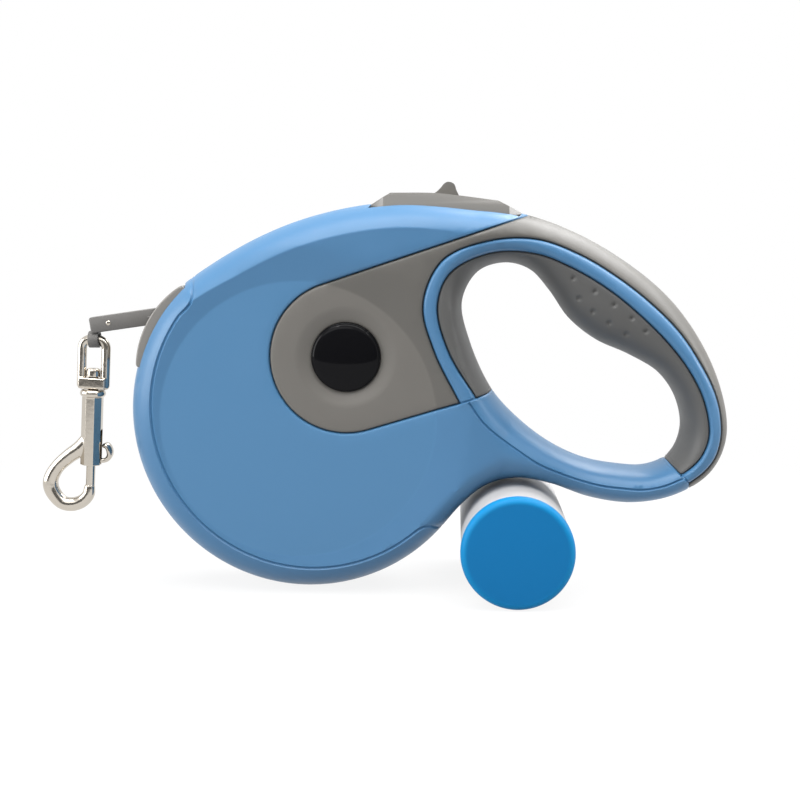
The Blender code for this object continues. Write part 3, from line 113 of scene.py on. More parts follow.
BUTTON_HALF_WIDTH = 8.0 * MM
BUTTON_RISES = [(20.4, -0.3), (26.6, 2.8), (40.3, 3.0), (48.5, 3.0), (60.5, 2.6), (67.9, 0.0)]
BUTTON_SKIRT = 7.2 * MM
DRAFT = 0.3
DRAFT_BELOW = 0.6 * MM
TAB_LENGTH = 7.6 * MM
TAB_WIDTH = 7.0 * MM
TAB_AHEAD = 44.3 * MM
TAB_GROOVE = 1.2 * MM
TAB_TRAVEL = 4.0 * MM

RIM_SCREWS_DEG = (110.0, 250.0, 300.0)
HANDLE_SCREWS = [(52.3, -7.0), (107.3, -23.4)]
SCREW_HEAD_RADIUS = 2.4 * MM
SCREW_SEAT = 6.0 * MM
BOSS_RADIUS = 3.8 * MM

DISPENSER_X = 44.2 * MM
DISPENSER_RADIUS = 17.5 * MM
DISPENSER_LENGTH = 68.0 * MM
DISPENSER_WALL = 1.6 * MM
CAP_THICKNESS = 3.2 * MM
BAG_SLOT_WIDTH = 6.0 * MM
BAG_SLOT_LENGTH = 42.0 * MM

# Finer forms that only the looks have
PARTING = 0.06 * MM
SHELL_WALL = 1.6 * MM
LEAST_WALL = 0.5 * MM
SEAM_HALF = 0.08 * MM
SEAM_FOOT = 0.06
SHOULDER_POWER = 2.1
TOP_WIDTH = 8.3 * MM
HAND_WIDTH = 12.0 * MM
BREAK = 0.55
TOP_BLEND = (0.55 * BODY_RADIUS, 0.8 * BODY_RADIUS)
HAND_BLEND = (0.75 * BODY_RADIUS, 1.3 * BODY_RADIUS)
BREAK_BLEND = (0.3 * BODY_RADIUS, 1.15 * BODY_RADIUS)
CONE_BLEND = (0.85 * BODY_RADIUS, 1.5 * BODY_RADIUS)
GROOVE_SHIFT = (2.1, 1.9)
GROOVE_RADIUS = 50.4
GROOVE_EASE_DEG = 6.0
GROOVE_START = [(-36.9, 43.5), (-35.3, 41.2), (-34.5, 38.4), (-35.1, 35.3)]
GROOVE_END = [(37.3, -34.9), (40.6, -34.9), (43.2, -36.8)]
GROOVE_HALF = 0.6 * MM
GROOVE_DEPTH = 0.7 * MM
PLATEAU_PLACE = (-2.1, -1.2)
PLATEAU_RADIUS = 43.4 * MM
PLATEAU_SINK = 0.4 * MM
PLATEAU_EASE = 0.9 * MM
CONE_SLOPE = 0.16
CONE_REACH = 11.0 * MM
DISH_FULL_DEPTH = 1.6 * MM
SEAM_WIDTH = 0.45 * MM
SEAM_DEPTH = 0.8 * MM
SHOULDER_WIDTH = 1.1 * MM
SHOULDER_DEPTH = 0.32 * MM
SEAM_ROWS = np.array([0.12, 0.28, 0.45, 0.75, 1.1]) * MM
BEAD_RISE = 0.5 * MM
BOW_GROOVE = [
    (51.6, 4.6), (56.1, -1.7), (60.6, -5.9), (67.2, -10.8), (73.7, -15.1), (80.3, -18.0), (86.8, -20.3),
    (93.4, -22.0), (100.0, -22.8), (106.5, -23.2), (113.1, -22.0), (119.4, -19.2),
]
BOW_GROOVE_HALF = 0.5 * MM
BOW_GROOVE_DEPTH = 0.6 * MM
DIMPLES = [
    (83.6, 43.2), (90.3, 39.1), (96.3, 35.0), (101.9, 30.9), (106.3, 26.8),
    (85.5, 36.9), (89.9, 32.8), (95.0, 29.3), (100.4, 25.8),
]
DIMPLE_RADIUS = 1.2 * MM
DIMPLE_DEPTH = 0.8 * MM
STEP = 1.3 * MM
LOOSE_LEAST = 0.4 * MM
RIM_LEAST = 0.04 * MM
RIM_FINE = 1.2 * MM
RIM_ROWS = np.array([0.005, 0.018, 0.04, 0.07, 0.11, 0.16, 0.22, 0.3, 0.4, 0.51, 0.63, 0.76, 0.9, 1.02])
GROOVE_ROWS = np.array([-1.0, -0.6, -0.25, 0.0, 0.25, 0.6, 1.0])
CREASE_ROWS = (-0.35 * MM, 0.0, 0.35 * MM)

# Outlet, tape, badge, screws, brake and dispenser
# The lip of the nozzle is this much lower than the solid's
NOZZLE_SPARE = 0.9 * MM
NOZZLE_SWELL = 0.7
NOZZLE_ROUND = 0.9 * MM
SELVEDGE = [(0.0, 0.5), (0.3, 1.0), (1.0, 1.0), (1.25, 0.72)]
ROLL_AIR = 0.02 * MM
ROLL_BAND = 0.9
RIVET_RADIUS = 0.8 * MM
RIVET_RISE = 0.3 * MM
RIVET_SHANK = 0.54 * MM
BADGE_EDGE = 0.4 * MM
BADGE_LIP = 0.35 * MM
BOWL_POWER = 1.15
BEAD_ENDS = (4.3 * MM, 6.5 * MM)
SCREW_NAMES = ("nozzle", "belly", "keel", "waist", "bow")
SCREW_RISE = 1.2 * MM
SHANK_RADIUS = 1.2 * MM
SHANK_END = -6.0 * MM
CROSS_HALF = (1.5 * MM, 0.35 * MM)
BUTTON_SLOT_GAP = 0.2 * MM
BUTTON_CORNER = 4.0 * MM
# The square skirt of the button ends this far under the casing's edge
BUTTON_LEDGE = 1.6 * MM
TAB_RIDGE = [
    (1.0, 0.15), (0.82, 0.75), (0.55, 2.0), (0.3, 3.35), (0.05, 3.95),
    (-0.3, 3.9), (-0.56, 3.3), (-0.74, 1.8), (-1.0, 0.15),
]
SMALL_ROUND = 0.7 * MM
BARREL_SINK = 0.25 * MM
BARREL_ROUND = 1.6 * MM
CAP_ROUND = 2.1 * MM
CAP_PLUG = 6.0 * MM
CAP_PLUG_WALL = 1.5 * MM
BRAKE_SPRING_RADIUS = 2.4 * MM
BRAKE_SPRING_WIRE = 0.35 * MM
BRAKE_SPRING_TURNS = 4

# Bolt snap, in millimetres below the bar of its eye
SNAP_VOXEL = 0.16
SNAP_BASE, SNAP_COLLAR, SNAP_BARREL, SNAP_FOOT = -12.5, -16.4, -18.9, -41.4
EYE_HALF = 3.9
EYE_CORNER = 2.9
EYE_WIRE = 1.5
STEM_FOOT = SNAP_BASE + 0.3
STEM_TOP = STEM_FOOT + 2.8
STEM_END = SNAP_COLLAR - 0.8
COLLAR_RADIUS = 3.2
BARREL_RADIUS = 3.5
HOOK_BEND = [
    (-0.9, -33.0), (-3.6, -36.2), (-7.2, -39.0), (-11.0, -42.8), (-13.0, -46.6), (-13.2, -48.9),
    (-12.4, -51.3), (-9.2, -54.7), (-5.6, -55.1), (-2.3, -53.7), (-0.5, -51.4), (-0.2, -49.3),
]
HOOK_RADII = [2.7, 2.7, 2.45, 2.3, 2.5, 2.6, 2.55, 2.35, 2.35, 2.2, 2.05, 1.85]
BOLT_LOW = SNAP_FOOT - 7.5
BOLT_TOP = SNAP_FOOT + 10.4
LEVER_CURL = [
    (0.3, -39.5), (3.3, -39.9), (5.2, -39.4), (6.2, -37.8), (6.1, -36.0), (5.2, -34.7), (4.5, -34.8),
]
BOLT_SPRING_ENDS = (-30.7, -21.8)
BOLT_SPRING_RADIUS = 1.125
BOLT_SPRING_WIRE = 0.22
BOLT_SPRING_TURNS = 5

# Floor, light and camera
FLOOR_HALF = 4.0
FLOOR_SINK = 0.2 * MM
FLOOR_GLOW = 0.88
FLOOR_GLOW_EDGES = (0.1, 0.3)
FLOOR_SEEN = (0.9, 0.9, 0.9, 1)
FLOOR_BOUNCE = (0.32, 0.32, 0.32, 1)
WORLD_LIGHT = 0.25
CARD_Y = -0.5
CARD_HALF_WIDTH = 0.6
CARD_HEIGHT = 0.32
CARD_GREY = (0.1, 0.1, 0.1, 1)
CAMERA_PLACE = (24.6 * MM, -425.0 * MM, 112.2 * MM)
CAMERA_YAW = math.radians(2.36)
CAMERA_PITCH = math.radians(6.95)
CAMERA_FOCAL_PX = 1320.5
IMAGE_PX = 800
LIGHTS = [
    ("top_soft", (0.0, -0.20, 0.75), (0.02, 0.0, 0.06), (0.9, 0.6), 7.1),
    ("front_soft", (-0.30, -0.90, 0.40), (0.0, 0.0, 0.06), (0.7, 0.7), 2.15),
    ("left_soft", (-0.85, -0.25, 0.30), (0.0, 0.0, 0.06), (0.6, 0.6), 5.5),
    ("back_soft", (0.45, 0.32, 0.72), (0.04, 0.0, 0.08), (0.8, 0.5), 8.0),
    ("right_soft", (0.80, 0.05, 0.36), (0.04, 0.0, 0.10), (0.3, 0.3), 2.4),
    ("spark_left", (-0.22, -0.45, 0.62), (0.0, 0.0, 0.07), (0.06, 0.06), 0.35),
    ("spark_right", (0.42, -0.40, 0.55), (0.02, 0.0, 0.07), (0.06, 0.06), 0.35),
]

REEL = np.array([REEL_X, BODY_RADIUS])
PANEL_CENTRE = REEL + np.array(PANEL_PLACE) * MM
PLATEAU_CENTRE = REEL + np.array(PLATEAU_PLACE) * MM
OUTWARD = np.array([-math.cos(TAPE_ANGLE), -math.sin(TAPE_ANGLE)])
UPWARD = np.array([-math.sin(TAPE_ANGLE), math.cos(TAPE_ANGLE)])
MIRROR = np.array([1, -1, 1])
TAPE_OFFSET = ROLL_RADIUS + GAP + TAPE_THICKNESS / 2
TAPE_START = REEL + UPWARD * TAPE_OFFSET
NOZZLE_RADIUS = BODY_RADIUS + NOZZLE_PROUD
TAPE_EXIT = math.sqrt(NOZZLE_RADIUS ** 2 - TAPE_OFFSET ** 2)
DISPENSER_TOP = 2 * DISPENSER_RADIUS + GAP + RUN_GAP


# Plane curves

def mm_points(points):
    return np.array(points, float) * MM


def from_reel(points):
    return REEL + mm_points(points)


def direction(angle):
    """Unit vectors at one angle or several, in degrees."""
    turn = np.radians(angle)
    return np.stack([np.cos(turn), np.sin(turn)], axis=-1)


def unit_rows(vectors):
    return vectors / np.maximum(np.linalg.norm(vectors, axis=1), 1e-15)[:, None]


def sideways(along):
    """Unit vectors to the right of each row of an array of plane vectors."""
    x, z = unit_rows(along).T
    return np.column_stack([z, -x])


def between(first, last, t_first, t_last, t):
    return ((t_last - t) * first + (t - t_first) * last) / (t_last - t_first)


def spline(points, samples, closed):
    """Points along a centripetal Catmull-Rom curve through the given ones."""
    points = np.asarray(points, float)
    count = len(points)
    result = []
    for i in range(count if closed else count - 1):
        before, start = points[i - 1], points[i]
        end, after = points[(i + 1) % count], points[(i + 2) % count]
        if not closed and i == 0:
            before = 2 * start - end
        if not closed and i == count - 2:
            after = 2 * end - start
        t0 = 0.0
        t1 = t0 + math.sqrt(np.linalg.norm(start - before))
        t2 = t1 + math.sqrt(np.linalg.norm(end - start))
        t3 = t2 + math.sqrt(np.linalg.norm(after - end))
        for t in np.linspace(t1, t2, samples, endpoint=False):
            a1 = between(before, start, t0, t1, t)
            a2 = between(start, end, t1, t2, t)
            a3 = between(end, after, t2, t3, t)
            b1 = between(a1, a2, t0, t2, t)
            b2 = between(a2, a3, t1, t3, t)
            result.append(between(b1, b2, t1, t2, t))
    if not closed:
        result.append(points[-1])
    return np.array(result)


def resampled(loop, step, closed=True):
    """Points spaced evenly at about the given step."""
    ring = np.vstack([loop, loop[:1]]) if closed else np.asarray(loop)
    along = np.concatenate([[0.0], np.cumsum(np.linalg.norm(np.diff(ring, axis=0), axis=1))])
    count = max(12, round(along[-1] / step))
    places = np.linspace(0, along[-1], count, endpoint=not closed)
    return np.column_stack([np.interp(places, along, ring[:, k]) for k in range(2)])


def signed_area(loop):
    x, z = loop.T
    return 0.5 * np.sum(x * np.roll(z, -1) - np.roll(x, -1) * z)


def loop_normals(loop):
    """Unit vectors to the outer side of a closed loop."""
    along = np.roll(loop, -1, axis=0) - np.roll(loop, 1, axis=0)
    return sideways(along) * np.sign(signed_area(loop))


def offset_loop(loop, distance):
    return loop + loop_normals(loop) * distance


def distance_to(points, line, closed=True):
    """Each point's distance to a line of points."""
    starts, ends = (line, np.roll(line, -1, axis=0)) if closed else (line[:-1], line[1:])
    side = ends - starts
    length = np.maximum(np.sum(side * side, axis=1), 1e-18)
    nearest = np.full(len(points), np.inf)
    for corner, edge, square in zip(starts, side, length):
        share = np.clip((points - corner) @ edge / square, 0, 1)
        gap = points - corner - share[:, None] * edge
        nearest = np.minimum(nearest, np.einsum("ij,ij->i", gap, gap))
    return np.sqrt(nearest)


def inside(points, loop):
    x, z = points.T
    found = np.zeros(len(points), bool)
    for (x0, z0), (x1, z1) in zip(loop, np.roll(loop, -1, axis=0)):
        if z0 == z1:
            continue
        crosses = (z0 > z) != (z1 > z)
        found ^= crosses & (x < (x1 - x0) * (z - z0) / (z1 - z0) + x0)
    return found


def smooth_step(value, start, end):
    share = np.clip((value - start) / (end - start), 0, 1)
    return share * share * (3 - 2 * share)


def circle(centre, radius, count):
    return centre + radius * direction(np.linspace(0, 360, count, endpoint=False))


def casing_outline():
    drum = REEL + BODY_RADIUS * direction(np.arange(DRUM_ARC_DEG[0], DRUM_ARC_DEG[1] + 1, 5.0))
    waist = np.array([DISPENSER_X, DISPENSER_TOP]) + mm_points(WAIST)
    rest = from_reel(BOW_AND_HEEL + HANDLE_BACK + TOP_BACK)
    top = [(BODY_RADIUS + proud * MM) * direction(angle) for angle, proud in TOP_EDGE]
    return spline(np.vstack([drum, waist, rest, REEL + top]), 10, True)


def angle_of(away):
    return math.degrees(math.atan2(away[1], away[0]))


def tangent_angle(centre, point, radius, side):
    away = point - centre
    return angle_of(away) + side * math.degrees(math.acos(radius / np.linalg.norm(away)))


def cover_zone():
    """Side view of the grey cover: round panel, flank and the back of the handle."""
    tip, waist = from_reel([COVER_TIP, BEAD_OUTER[0]])
    upper = tangent_angle(PANEL_CENTRE, tip, PANEL_RADIUS, 1)
    lower = tangent_angle(PANEL_CENTRE, waist, PANEL_RADIUS, -1) + 360
    panel = PANEL_CENTRE + PANEL_RADIUS * direction(np.linspace(upper, lower, 90))
    bead = spline(from_reel(BEAD_OUTER), 12, False)
    back = from_reel(BOW_AND_HEEL[2:] + HANDLE_BACK)
    middle = from_reel(HAND_HOLE).mean(axis=0)
    return np.vstack([panel, bead, middle + 1.2 * (back - middle), [tip]])


def grip_zone():
    """Side view of the inner grip: from the bead to inside the hand hole."""
    bead = spline(from_reel(BEAD_INNER), 12, False)
    hole = from_reel(HAND_HOLE)
    grip_side = np.vstack([hole[10:], hole[:5]])
    within = grip_side + 0.4 * (hole.mean(axis=0) - grip_side)
    return np.vstack([bead, within])


def rim_groove_line():
    """The fine groove that sets off the rim: in from the outline, round the housing and out again."""
    centre = np.array(GROOVE_SHIFT)
    first = angle_of(GROOVE_START[-1] - centre) + GROOVE_EASE_DEG
    last = angle_of(GROOVE_END[0] - centre) % 360 - GROOVE_EASE_DEG
    arc = centre + GROOVE_RADIUS * direction(np.linspace(first, last, 40))
    return spline(from_reel(np.vstack([GROOVE_START, arc, GROOVE_END])), 4, False)


OUTLINE = casing_outline()
HOLE = spline(from_reel(HAND_HOLE), 14, True)
COVER = cover_zone()
GRIP = grip_zone()
RIM_GROOVE = rim_groove_line()
BOW_LINE = spline(from_reel(BOW_GROOVE), 8, False)
END_SEAMS = [from_reel([BEAD_OUTER[0], BEAD_INNER[0]]), from_reel([BEAD_INNER[-1], BEAD_OUTER[-1]])]
COARSE_OUTLINE = resampled(OUTLINE, 2.0 * MM)
COARSE_HOLE = resampled(HOLE, 1.5 * MM)


# The casing's side as a height over the middle plane

def half_depth(points):
    share = smooth_step(points[:, 0] - REEL_X - TAPER_START, 0.0, TAPER_LENGTH)
    return HOUSING_HALF_DEPTH + (HANDLE_HALF_DEPTH - HOUSING_HALF_DEPTH) * share


def rim_width(points):
    """Width of the rounded edge: out to the groove on the housing, even along the top, wide in the hand."""
    away = points - REEL
    shift = mm_points(GROOVE_SHIFT)
    along = unit_rows(away) @ shift
    reach = along + np.sqrt((GROOVE_RADIUS * MM) ** 2 - (shift @ shift - along ** 2))
    width = BODY_RADIUS - reach
    top = smooth_step(away[:, 1], *TOP_BLEND)
    width = width + (TOP_WIDTH - width) * top
    hand = smooth_step(away[:, 0], *HAND_BLEND)
    return width + (HAND_WIDTH - width) * hand


def break_share(points):
    """How crisp the inner edge of the rounded rim is: clear on the housing, soft in the hand."""
    return BREAK * (1 - smooth_step(points[:, 0] - REEL_X, *BREAK_BLEND))


def plain_height(points):
    to_outline = distance_to(points, COARSE_OUTLINE)
    to_hole = distance_to(points, COARSE_HOLE)
    width = np.minimum(rim_width(points), 0.5 * (to_outline + to_hole))
    extra = 1 + break_share(points)
    share = np.clip(np.minimum(to_outline, to_hole) / (width * extra), 0, 1 / extra)
    full = (1 - (1 - 1 / extra) ** SHOULDER_POWER) ** (1 / SHOULDER_POWER)
    rounded = (1 - (1 - share) ** SHOULDER_POWER) ** (1 / SHOULDER_POWER)
    return half_depth(points) * rounded / full


def groove(distance, half_width, depth):
    return depth * smooth_step(half_width - distance, 0, half_width)


def detail_height(points):
    """What the plateau, dish, bead, grooves, seams and dimples add to the plain side or take from it."""
    added = np.zeros(len(points))
    radius = np.linalg.norm(points - PLATEAU_CENTRE, axis=1)
    beyond = np.clip(radius - PLATEAU_RADIUS, 0, CONE_REACH)
    fade = 1 - smooth_step(points[:, 0] - REEL_X, *CONE_BLEND)
    added += (CONE_SLOPE * beyond - PLATEAU_SINK) * fade
    radius = np.linalg.norm(points - PANEL_CENTRE, axis=1)
    bowl = np.clip((DISH_RADIUS - radius) / (DISH_RADIUS - BADGE_RADIUS), 0, 1)
    added -= DISH_FULL_DEPTH * bowl ** BOWL_POWER
    to_cover = distance_to(points, COVER)
    to_grip = distance_to(points, GRIP)
    between = ~inside(points, COVER) & ~inside(points, GRIP)
    width = np.maximum(to_cover + to_grip, 1e-9)
    crown = 1 - ((to_cover - to_grip) / width) ** 2
    added += between * BEAD_RISE * crown * (1 - smooth_step(width, *BEAD_ENDS))
    to_seam = np.minimum(to_cover, to_grip)
    added -= groove(to_seam, SEAM_WIDTH, SEAM_DEPTH) + groove(to_seam, SHOULDER_WIDTH, SHOULDER_DEPTH)
    added -= groove(distance_to(points, RIM_GROOVE, False), GROOVE_HALF, GROOVE_DEPTH)
    bow = distance_to(points, BOW_LINE, False)
    for seam in END_SEAMS:
        bow = np.minimum(bow, distance_to(points, seam, False))
    added -= between * groove(bow, BOW_GROOVE_HALF, BOW_GROOVE_DEPTH)
    for place in from_reel(DIMPLES):
        away = np.linalg.norm(points - place, axis=1)
        added -= groove(away, DIMPLE_RADIUS, DIMPLE_DEPTH)
    return added


def spaced(points, least, others):
    """The points that keep at least this distance from the others and from each other."""
    cells = {}
    kept = []

    def cell(point):
        return math.floor(point[0] / least), math.floor(point[1] / least)

    for point in others:
        cells.setdefault(cell(point), []).append(point)
    for point in points:
        i, j = cell(point)
        beside = [(i + a, j + b) for a in (-1, 0, 1) for b in (-1, 0, 1)]
        near = [other for place in beside for other in cells.get(place, ())]
        if all(math.hypot(other[0] - point[0], other[1] - point[1]) >= least for other in near):
            cells.setdefault((i, j), []).append(point)
            kept.append(point)
    return np.array(kept).reshape(-1, 2)


def rows_beside(line, closed, offsets, step):
    """Lines on both sides of a line, at the given distances from it."""
    even = resampled(line, step, closed)
    across = loop_normals(even) if closed else sideways(np.gradient(even, axis=0))
    return [(even + across * offset, closed) for offset in offsets]


def level_line(height, start, end):
    """Side view line where the rounded edge is this far from the middle plane, between two outline angles."""
    reach = np.linspace(0.7, 1.6, 1200)[:, None] * BODY_RADIUS
    found = []
    for unit in direction(np.linspace(start, end, 60)):
        ray = REEL + reach * unit
        ray = ray[inside(ray, OUTLINE)][-160:]
        found.append(ray[np.nonzero(plain_height(ray) >= height)[0][-1]])
    return np.array(found)


def crease_line(shift):
    """Side view line along the inner edge of the rounded rim on top of the housing."""
    loop = resampled(OUTLINE, STEP)
    away = loop - REEL
    on_top = (away[:, 1] > 0.5 * BODY_RADIUS) & (away[:, 0] < 0.85 * BODY_RADIUS)
    first = int(np.nonzero(on_top & ~np.roll(on_top, 1))[0][0])
    order = np.roll(np.arange(len(loop)), -first)
    order = order[on_top[order]]
    inward = -loop_normals(loop)[order]
    edge = loop[order]
    width = rim_width(edge)
    for _ in range(3):
        width = rim_width(edge + inward * width[:, None])
    return edge + inward * (width + shift)[:, None]


def edge_distance(points, outline, hole):
    return np.minimum(distance_to(points, outline), distance_to(points, hole))


def on_side(points, outline, hole):
    return inside(points, outline) & ~inside(points, hole)


def net_lines(loops):
    """Every line that the net of the casing's side follows, and whether it is closed."""
    lines = [(loop, True) for loop in loops]
    for zone in (COVER, GRIP):
        lines += rows_beside(zone, True, np.concatenate([-SEAM_ROWS[::-1], SEAM_ROWS]), STEP)
    grooves = [(RIM_GROOVE, GROOVE_HALF, STEP), (BOW_LINE, BOW_GROOVE_HALF, STEP)]
    grooves += [(seam, BOW_GROOVE_HALF, 0.5 * STEP) for seam in END_SEAMS]
    for line, half, step in grooves:
        lines += rows_beside(line, False, GROOVE_ROWS * half, step)
    for side in (-0.5, 0.0, 0.5):
        lines.append((circle(PLATEAU_CENTRE, PLATEAU_RADIUS + side * PLATEAU_EASE, 180), True))
    lines += [(crease_line(shift), False) for shift in CREASE_ROWS]
    for radius in np.linspace(BADGE_RADIUS + 0.9 * MM, DISH_RADIUS + 0.5 * MM, 6):
        lines.append((circle(PANEL_CENTRE, radius, 72), True))
    return lines


def loose_corners(outline, hole, drawn):
    """Corners of the net off its lines: rows along the rounded edges, the dimples and an even grid."""
    dimples = []
    for place in from_reel(DIMPLES):
        dimples.append(place[None, :])
        dimples += [circle(place, share * DIMPLE_RADIUS, 14) for share in (0.35, 0.7, 1.05)]
    dimples = np.vstack(dimples)
    rims = []
    for deep in RIM_ROWS * HAND_WIDTH:
        ring = np.vstack([offset_loop(outline, -deep), offset_loop(hole, deep)])
        rims.append(ring[edge_distance(ring, outline, hole) > 0.95 * deep])
    rims = np.vstack(rims)
    fine = spaced(rims, RIM_LEAST, drawn)
    fine = fine[edge_distance(fine, outline, hole) < RIM_FINE]
    plain = spaced(rims, LOOSE_LEAST, np.vstack([drawn, dimples]))
    plain = plain[edge_distance(plain, outline, hole) >= RIM_FINE]
    loose = np.vstack([fine, plain, dimples])
    low, high = outline.min(axis=0), outline.max(axis=0)
    grid = np.meshgrid(*[np.arange(a, b, 1.9 * STEP) for a, b in zip(low, high)])
    grid[0][1::2] += 0.95 * STEP
    grid = np.column_stack([axis.ravel() for axis in grid])
    grid = grid[on_side(grid, outline, hole)]
    grid = grid[edge_distance(grid, outline, hole) > 2.0 * MM]
    loose = np.vstack([loose, spaced(grid, 1.1 * STEP, np.vstack([loose, drawn]))])
    return loose[on_side(loose, outline, hole)]


def casing_net():
    """Corners and triangles of the casing's side, with every seam and cut along an edge of the net."""
    outline, cover, grip = [resampled(loop, STEP) for loop in (OUTLINE, COVER, GRIP)]
    hole = resampled(HOLE, 0.8 * STEP)
    badge = circle(PANEL_CENTRE, BADGE_RADIUS + SEAM_HALF * 2, 72)
    wells = [circle(place, SCREW_HEAD_RADIUS + GAP, 28) for place in screw_places()]
    lines = net_lines([outline, hole, cover, grip, badge] + wells + CUTS)
    drawn = np.vstack([resampled(line, LOOSE_LEAST, closed) for line, closed in lines[2:]])
    corners = np.vstack([line for line, _ in lines] + [loose_corners(outline, hole, drawn)])
    edges = []
    first = 0
    for line, closed in lines:
        last = first + len(line) - 1
        edges += [(i, i + 1) for i in range(first, last)] + [(last, first)] * closed
        first = last + 1
    found = delaunay_2d_cdt([Vector(corner / MM) for corner in corners], edges, [], 0, 1e-3)
    corners = np.array([tuple(corner) for corner in found[0]]) * MM
    faces = np.array(found[2])
    a, b, c = (corners[faces[:, k]] for k in range(3))
    turn = (b - a)[:, 0] * (c - a)[:, 1] - (b - a)[:, 1] * (c - a)[:, 0]
    faces[turn < 0] = faces[turn < 0][:, ::-1]
    middle = corners[faces].mean(axis=1)
    kept = on_side(middle, outline, hole)
    for slot in CUTS:
        kept &= ~inside(middle, slot)
    faces, middle = faces[kept], middle[kept]
    zone = np.zeros(len(middle), int)
    for number, loop in ((1, cover), (2, grip), (3, badge)):
        zone[inside(middle, loop)] = number
    in_well = np.any([inside(middle, well) for well in wells], axis=0)
    on_edge = edge_distance(corners, outline, hole) < 2e-6
    return corners, faces, zone, in_well, on_edge, cover, grip


def top_edge_height(x):
    upper = OUTLINE[OUTLINE[:, 1] > BODY_RADIUS * 1.5]
    upper = upper[np.argsort(upper[:, 0])]
    return float(np.interp(x, upper[:, 0], upper[:, 1]))


def button_top():
    ahead, rise = mm_points(BUTTON_RISES).T
    return np.array([(REEL_X + x, top_edge_height(REEL_X + x) + up) for x, up in zip(ahead, rise)])


def nozzle_angles(grow):
    middle = angle_of(TAPE_START + OUTWARD * TAPE_EXIT - REEL)
    half = NOZZLE_SPAN_DEG / 2 + math.degrees(grow / BODY_RADIUS)
    return middle - half, middle + half


def cut_loop(height, start, end):
    """A cut in the rounded edge as deep as the line at this height, carried past the outline."""
    inner = level_line(height, start, end)
    outer = REEL + (inner - REEL) * 1.08
    return np.vstack([inner, outer[::-1]])


def make_cuts():
    """Side views of the slots for the thumb button and the nozzle."""
    top = button_top()
    ends = (top[-1][0] + BUTTON_SLOT_GAP, top[0][0] - BUTTON_SLOT_GAP)
    angles = [angle_of((x, top_edge_height(x)) - REEL) for x in ends]
    button = cut_loop(BUTTON_HALF_WIDTH + RUN_GAP, *angles)
    nozzle = cut_loop(NOZZLE_HALF_WIDTH + GAP, *nozzle_angles(GAP))
    return [button, nozzle]


CUTS = make_cuts()


# Meshes

def new_object(name, mesh):
    obj = bpy.data.objects.new(name, mesh)
    bpy.context.scene.collection.objects.link(obj)
    return obj


def mesh_object(name, form):
    mesh = bpy.data.meshes.new(name)
    form.to_mesh(mesh)
    form.free()
    return new_object(name, mesh)


def settled(obj):
    """Turns a curve or an object with modifiers into the plain mesh that it shows."""
    bpy.context.view_layer.update()
    graph = bpy.context.evaluated_depsgraph_get()
    mesh = bpy.data.meshes.new_from_object(obj.evaluated_get(graph))
    form = bmesh.new()
    form.from_mesh(mesh)
    bmesh.ops.remove_doubles(form, verts=form.verts, dist=1e-7)
    bmesh.ops.recalc_face_normals(form, faces=form.faces)
    form.transform(obj.matrix_world)
    name = obj.name
    bpy.data.objects.remove(obj)
    bpy.data.meshes.remove(mesh)
    return mesh_object(name, form)


def joined(obj, other, operation):
    modifier = obj.modifiers.new(operation.lower(), "BOOLEAN")
    modifier.operation = operation
    modifier.object = other
    result = settled(obj)
    bpy.data.objects.remove(other)
    return result


def rounded(obj, width, segments=3, angle=40):
    bevel = obj.modifiers.new("round", "BEVEL")
    bevel.width = width
    bevel.segments = segments
    bevel.limit_method = "ANGLE"
    bevel.angle_limit = math.radians(angle)
    bevel.use_clamp_overlap = True
    return settled(obj)


def plate(name, loop, low, high):
    """A flat outline in X and Z, filled and drawn out between two depths in Y."""
    curve = bpy.data.curves.new(name, "CURVE")
    curve.dimensions = "2D"
    curve.fill_mode = "BOTH"
    curve.extrude = (high - low) / 2
    line = curve.splines.new("POLY")
    line.points.add(len(loop) - 1)
    for point, (x, z) in zip(line.points, loop):
        point.co = (x, z, 0, 1)
    line.use_cyclic_u = True
    obj = new_object(name, curve)
    obj.matrix_world = Matrix.Translation((0, (low + high) / 2, 0)) @ Matrix.Rotation(math.pi / 2, 4, "X")
    return settled(obj)


def turned(name, profile, sides, place=(0, 0, 0), axis="Y"):
    """A profile of (radius, height) points turned round a line through the place."""
    mesh = bpy.data.meshes.new(name)
    corners = [(radius, 0, height) for radius, height in profile]
    edges = [(i, (i + 1) % len(corners)) for i in range(len(corners))]
    on_axis = [radius < 1e-7 for radius, _ in profile]
    edges = [(a, b) for a, b in edges if not (on_axis[a] and on_axis[b])]
    mesh.from_pydata(corners, edges, [])
    obj = new_object(name, mesh)
    screw = obj.modifiers.new("turn", "SCREW")
    screw.steps = screw.render_steps = sides
    screw.use_merge_vertices = True
    screw.merge_threshold = 1e-6
    turns = {
        "X": Matrix.Rotation(math.pi / 2, 4, "Y"),
        "Y": Matrix.Rotation(-math.pi / 2, 4, "X"),
        "Z": Matrix.Identity(4),
    }
    obj.matrix_world = Matrix.Translation(place) @ turns[axis]
    return settled(obj)


def lofted(name, rings):
    """A closed mesh through rings of corners, each joined to the next, with both ends filled."""
    form = bmesh.new()
    rings = [[form.verts.new(corner) for corner in ring] for ring in rings]
    for one, two in zip(rings, rings[1:]):
        for k in range(len(one)):
            after = (k + 1) % len(one)
            form.faces.new((one[k], one[after], two[after], two[k]))
    form.faces.new(rings[0][::-1])
    form.faces.new(rings[-1])
    bmesh.ops.recalc_face_normals(form, faces=form.faces)
    return mesh_object(name, form)


def standing(name, loop, low, high):
    """A flat outline in X and Y, drawn out between two heights."""
    return lofted(name, [[(x, y, z) for x, y in loop] for z in (low, high)])


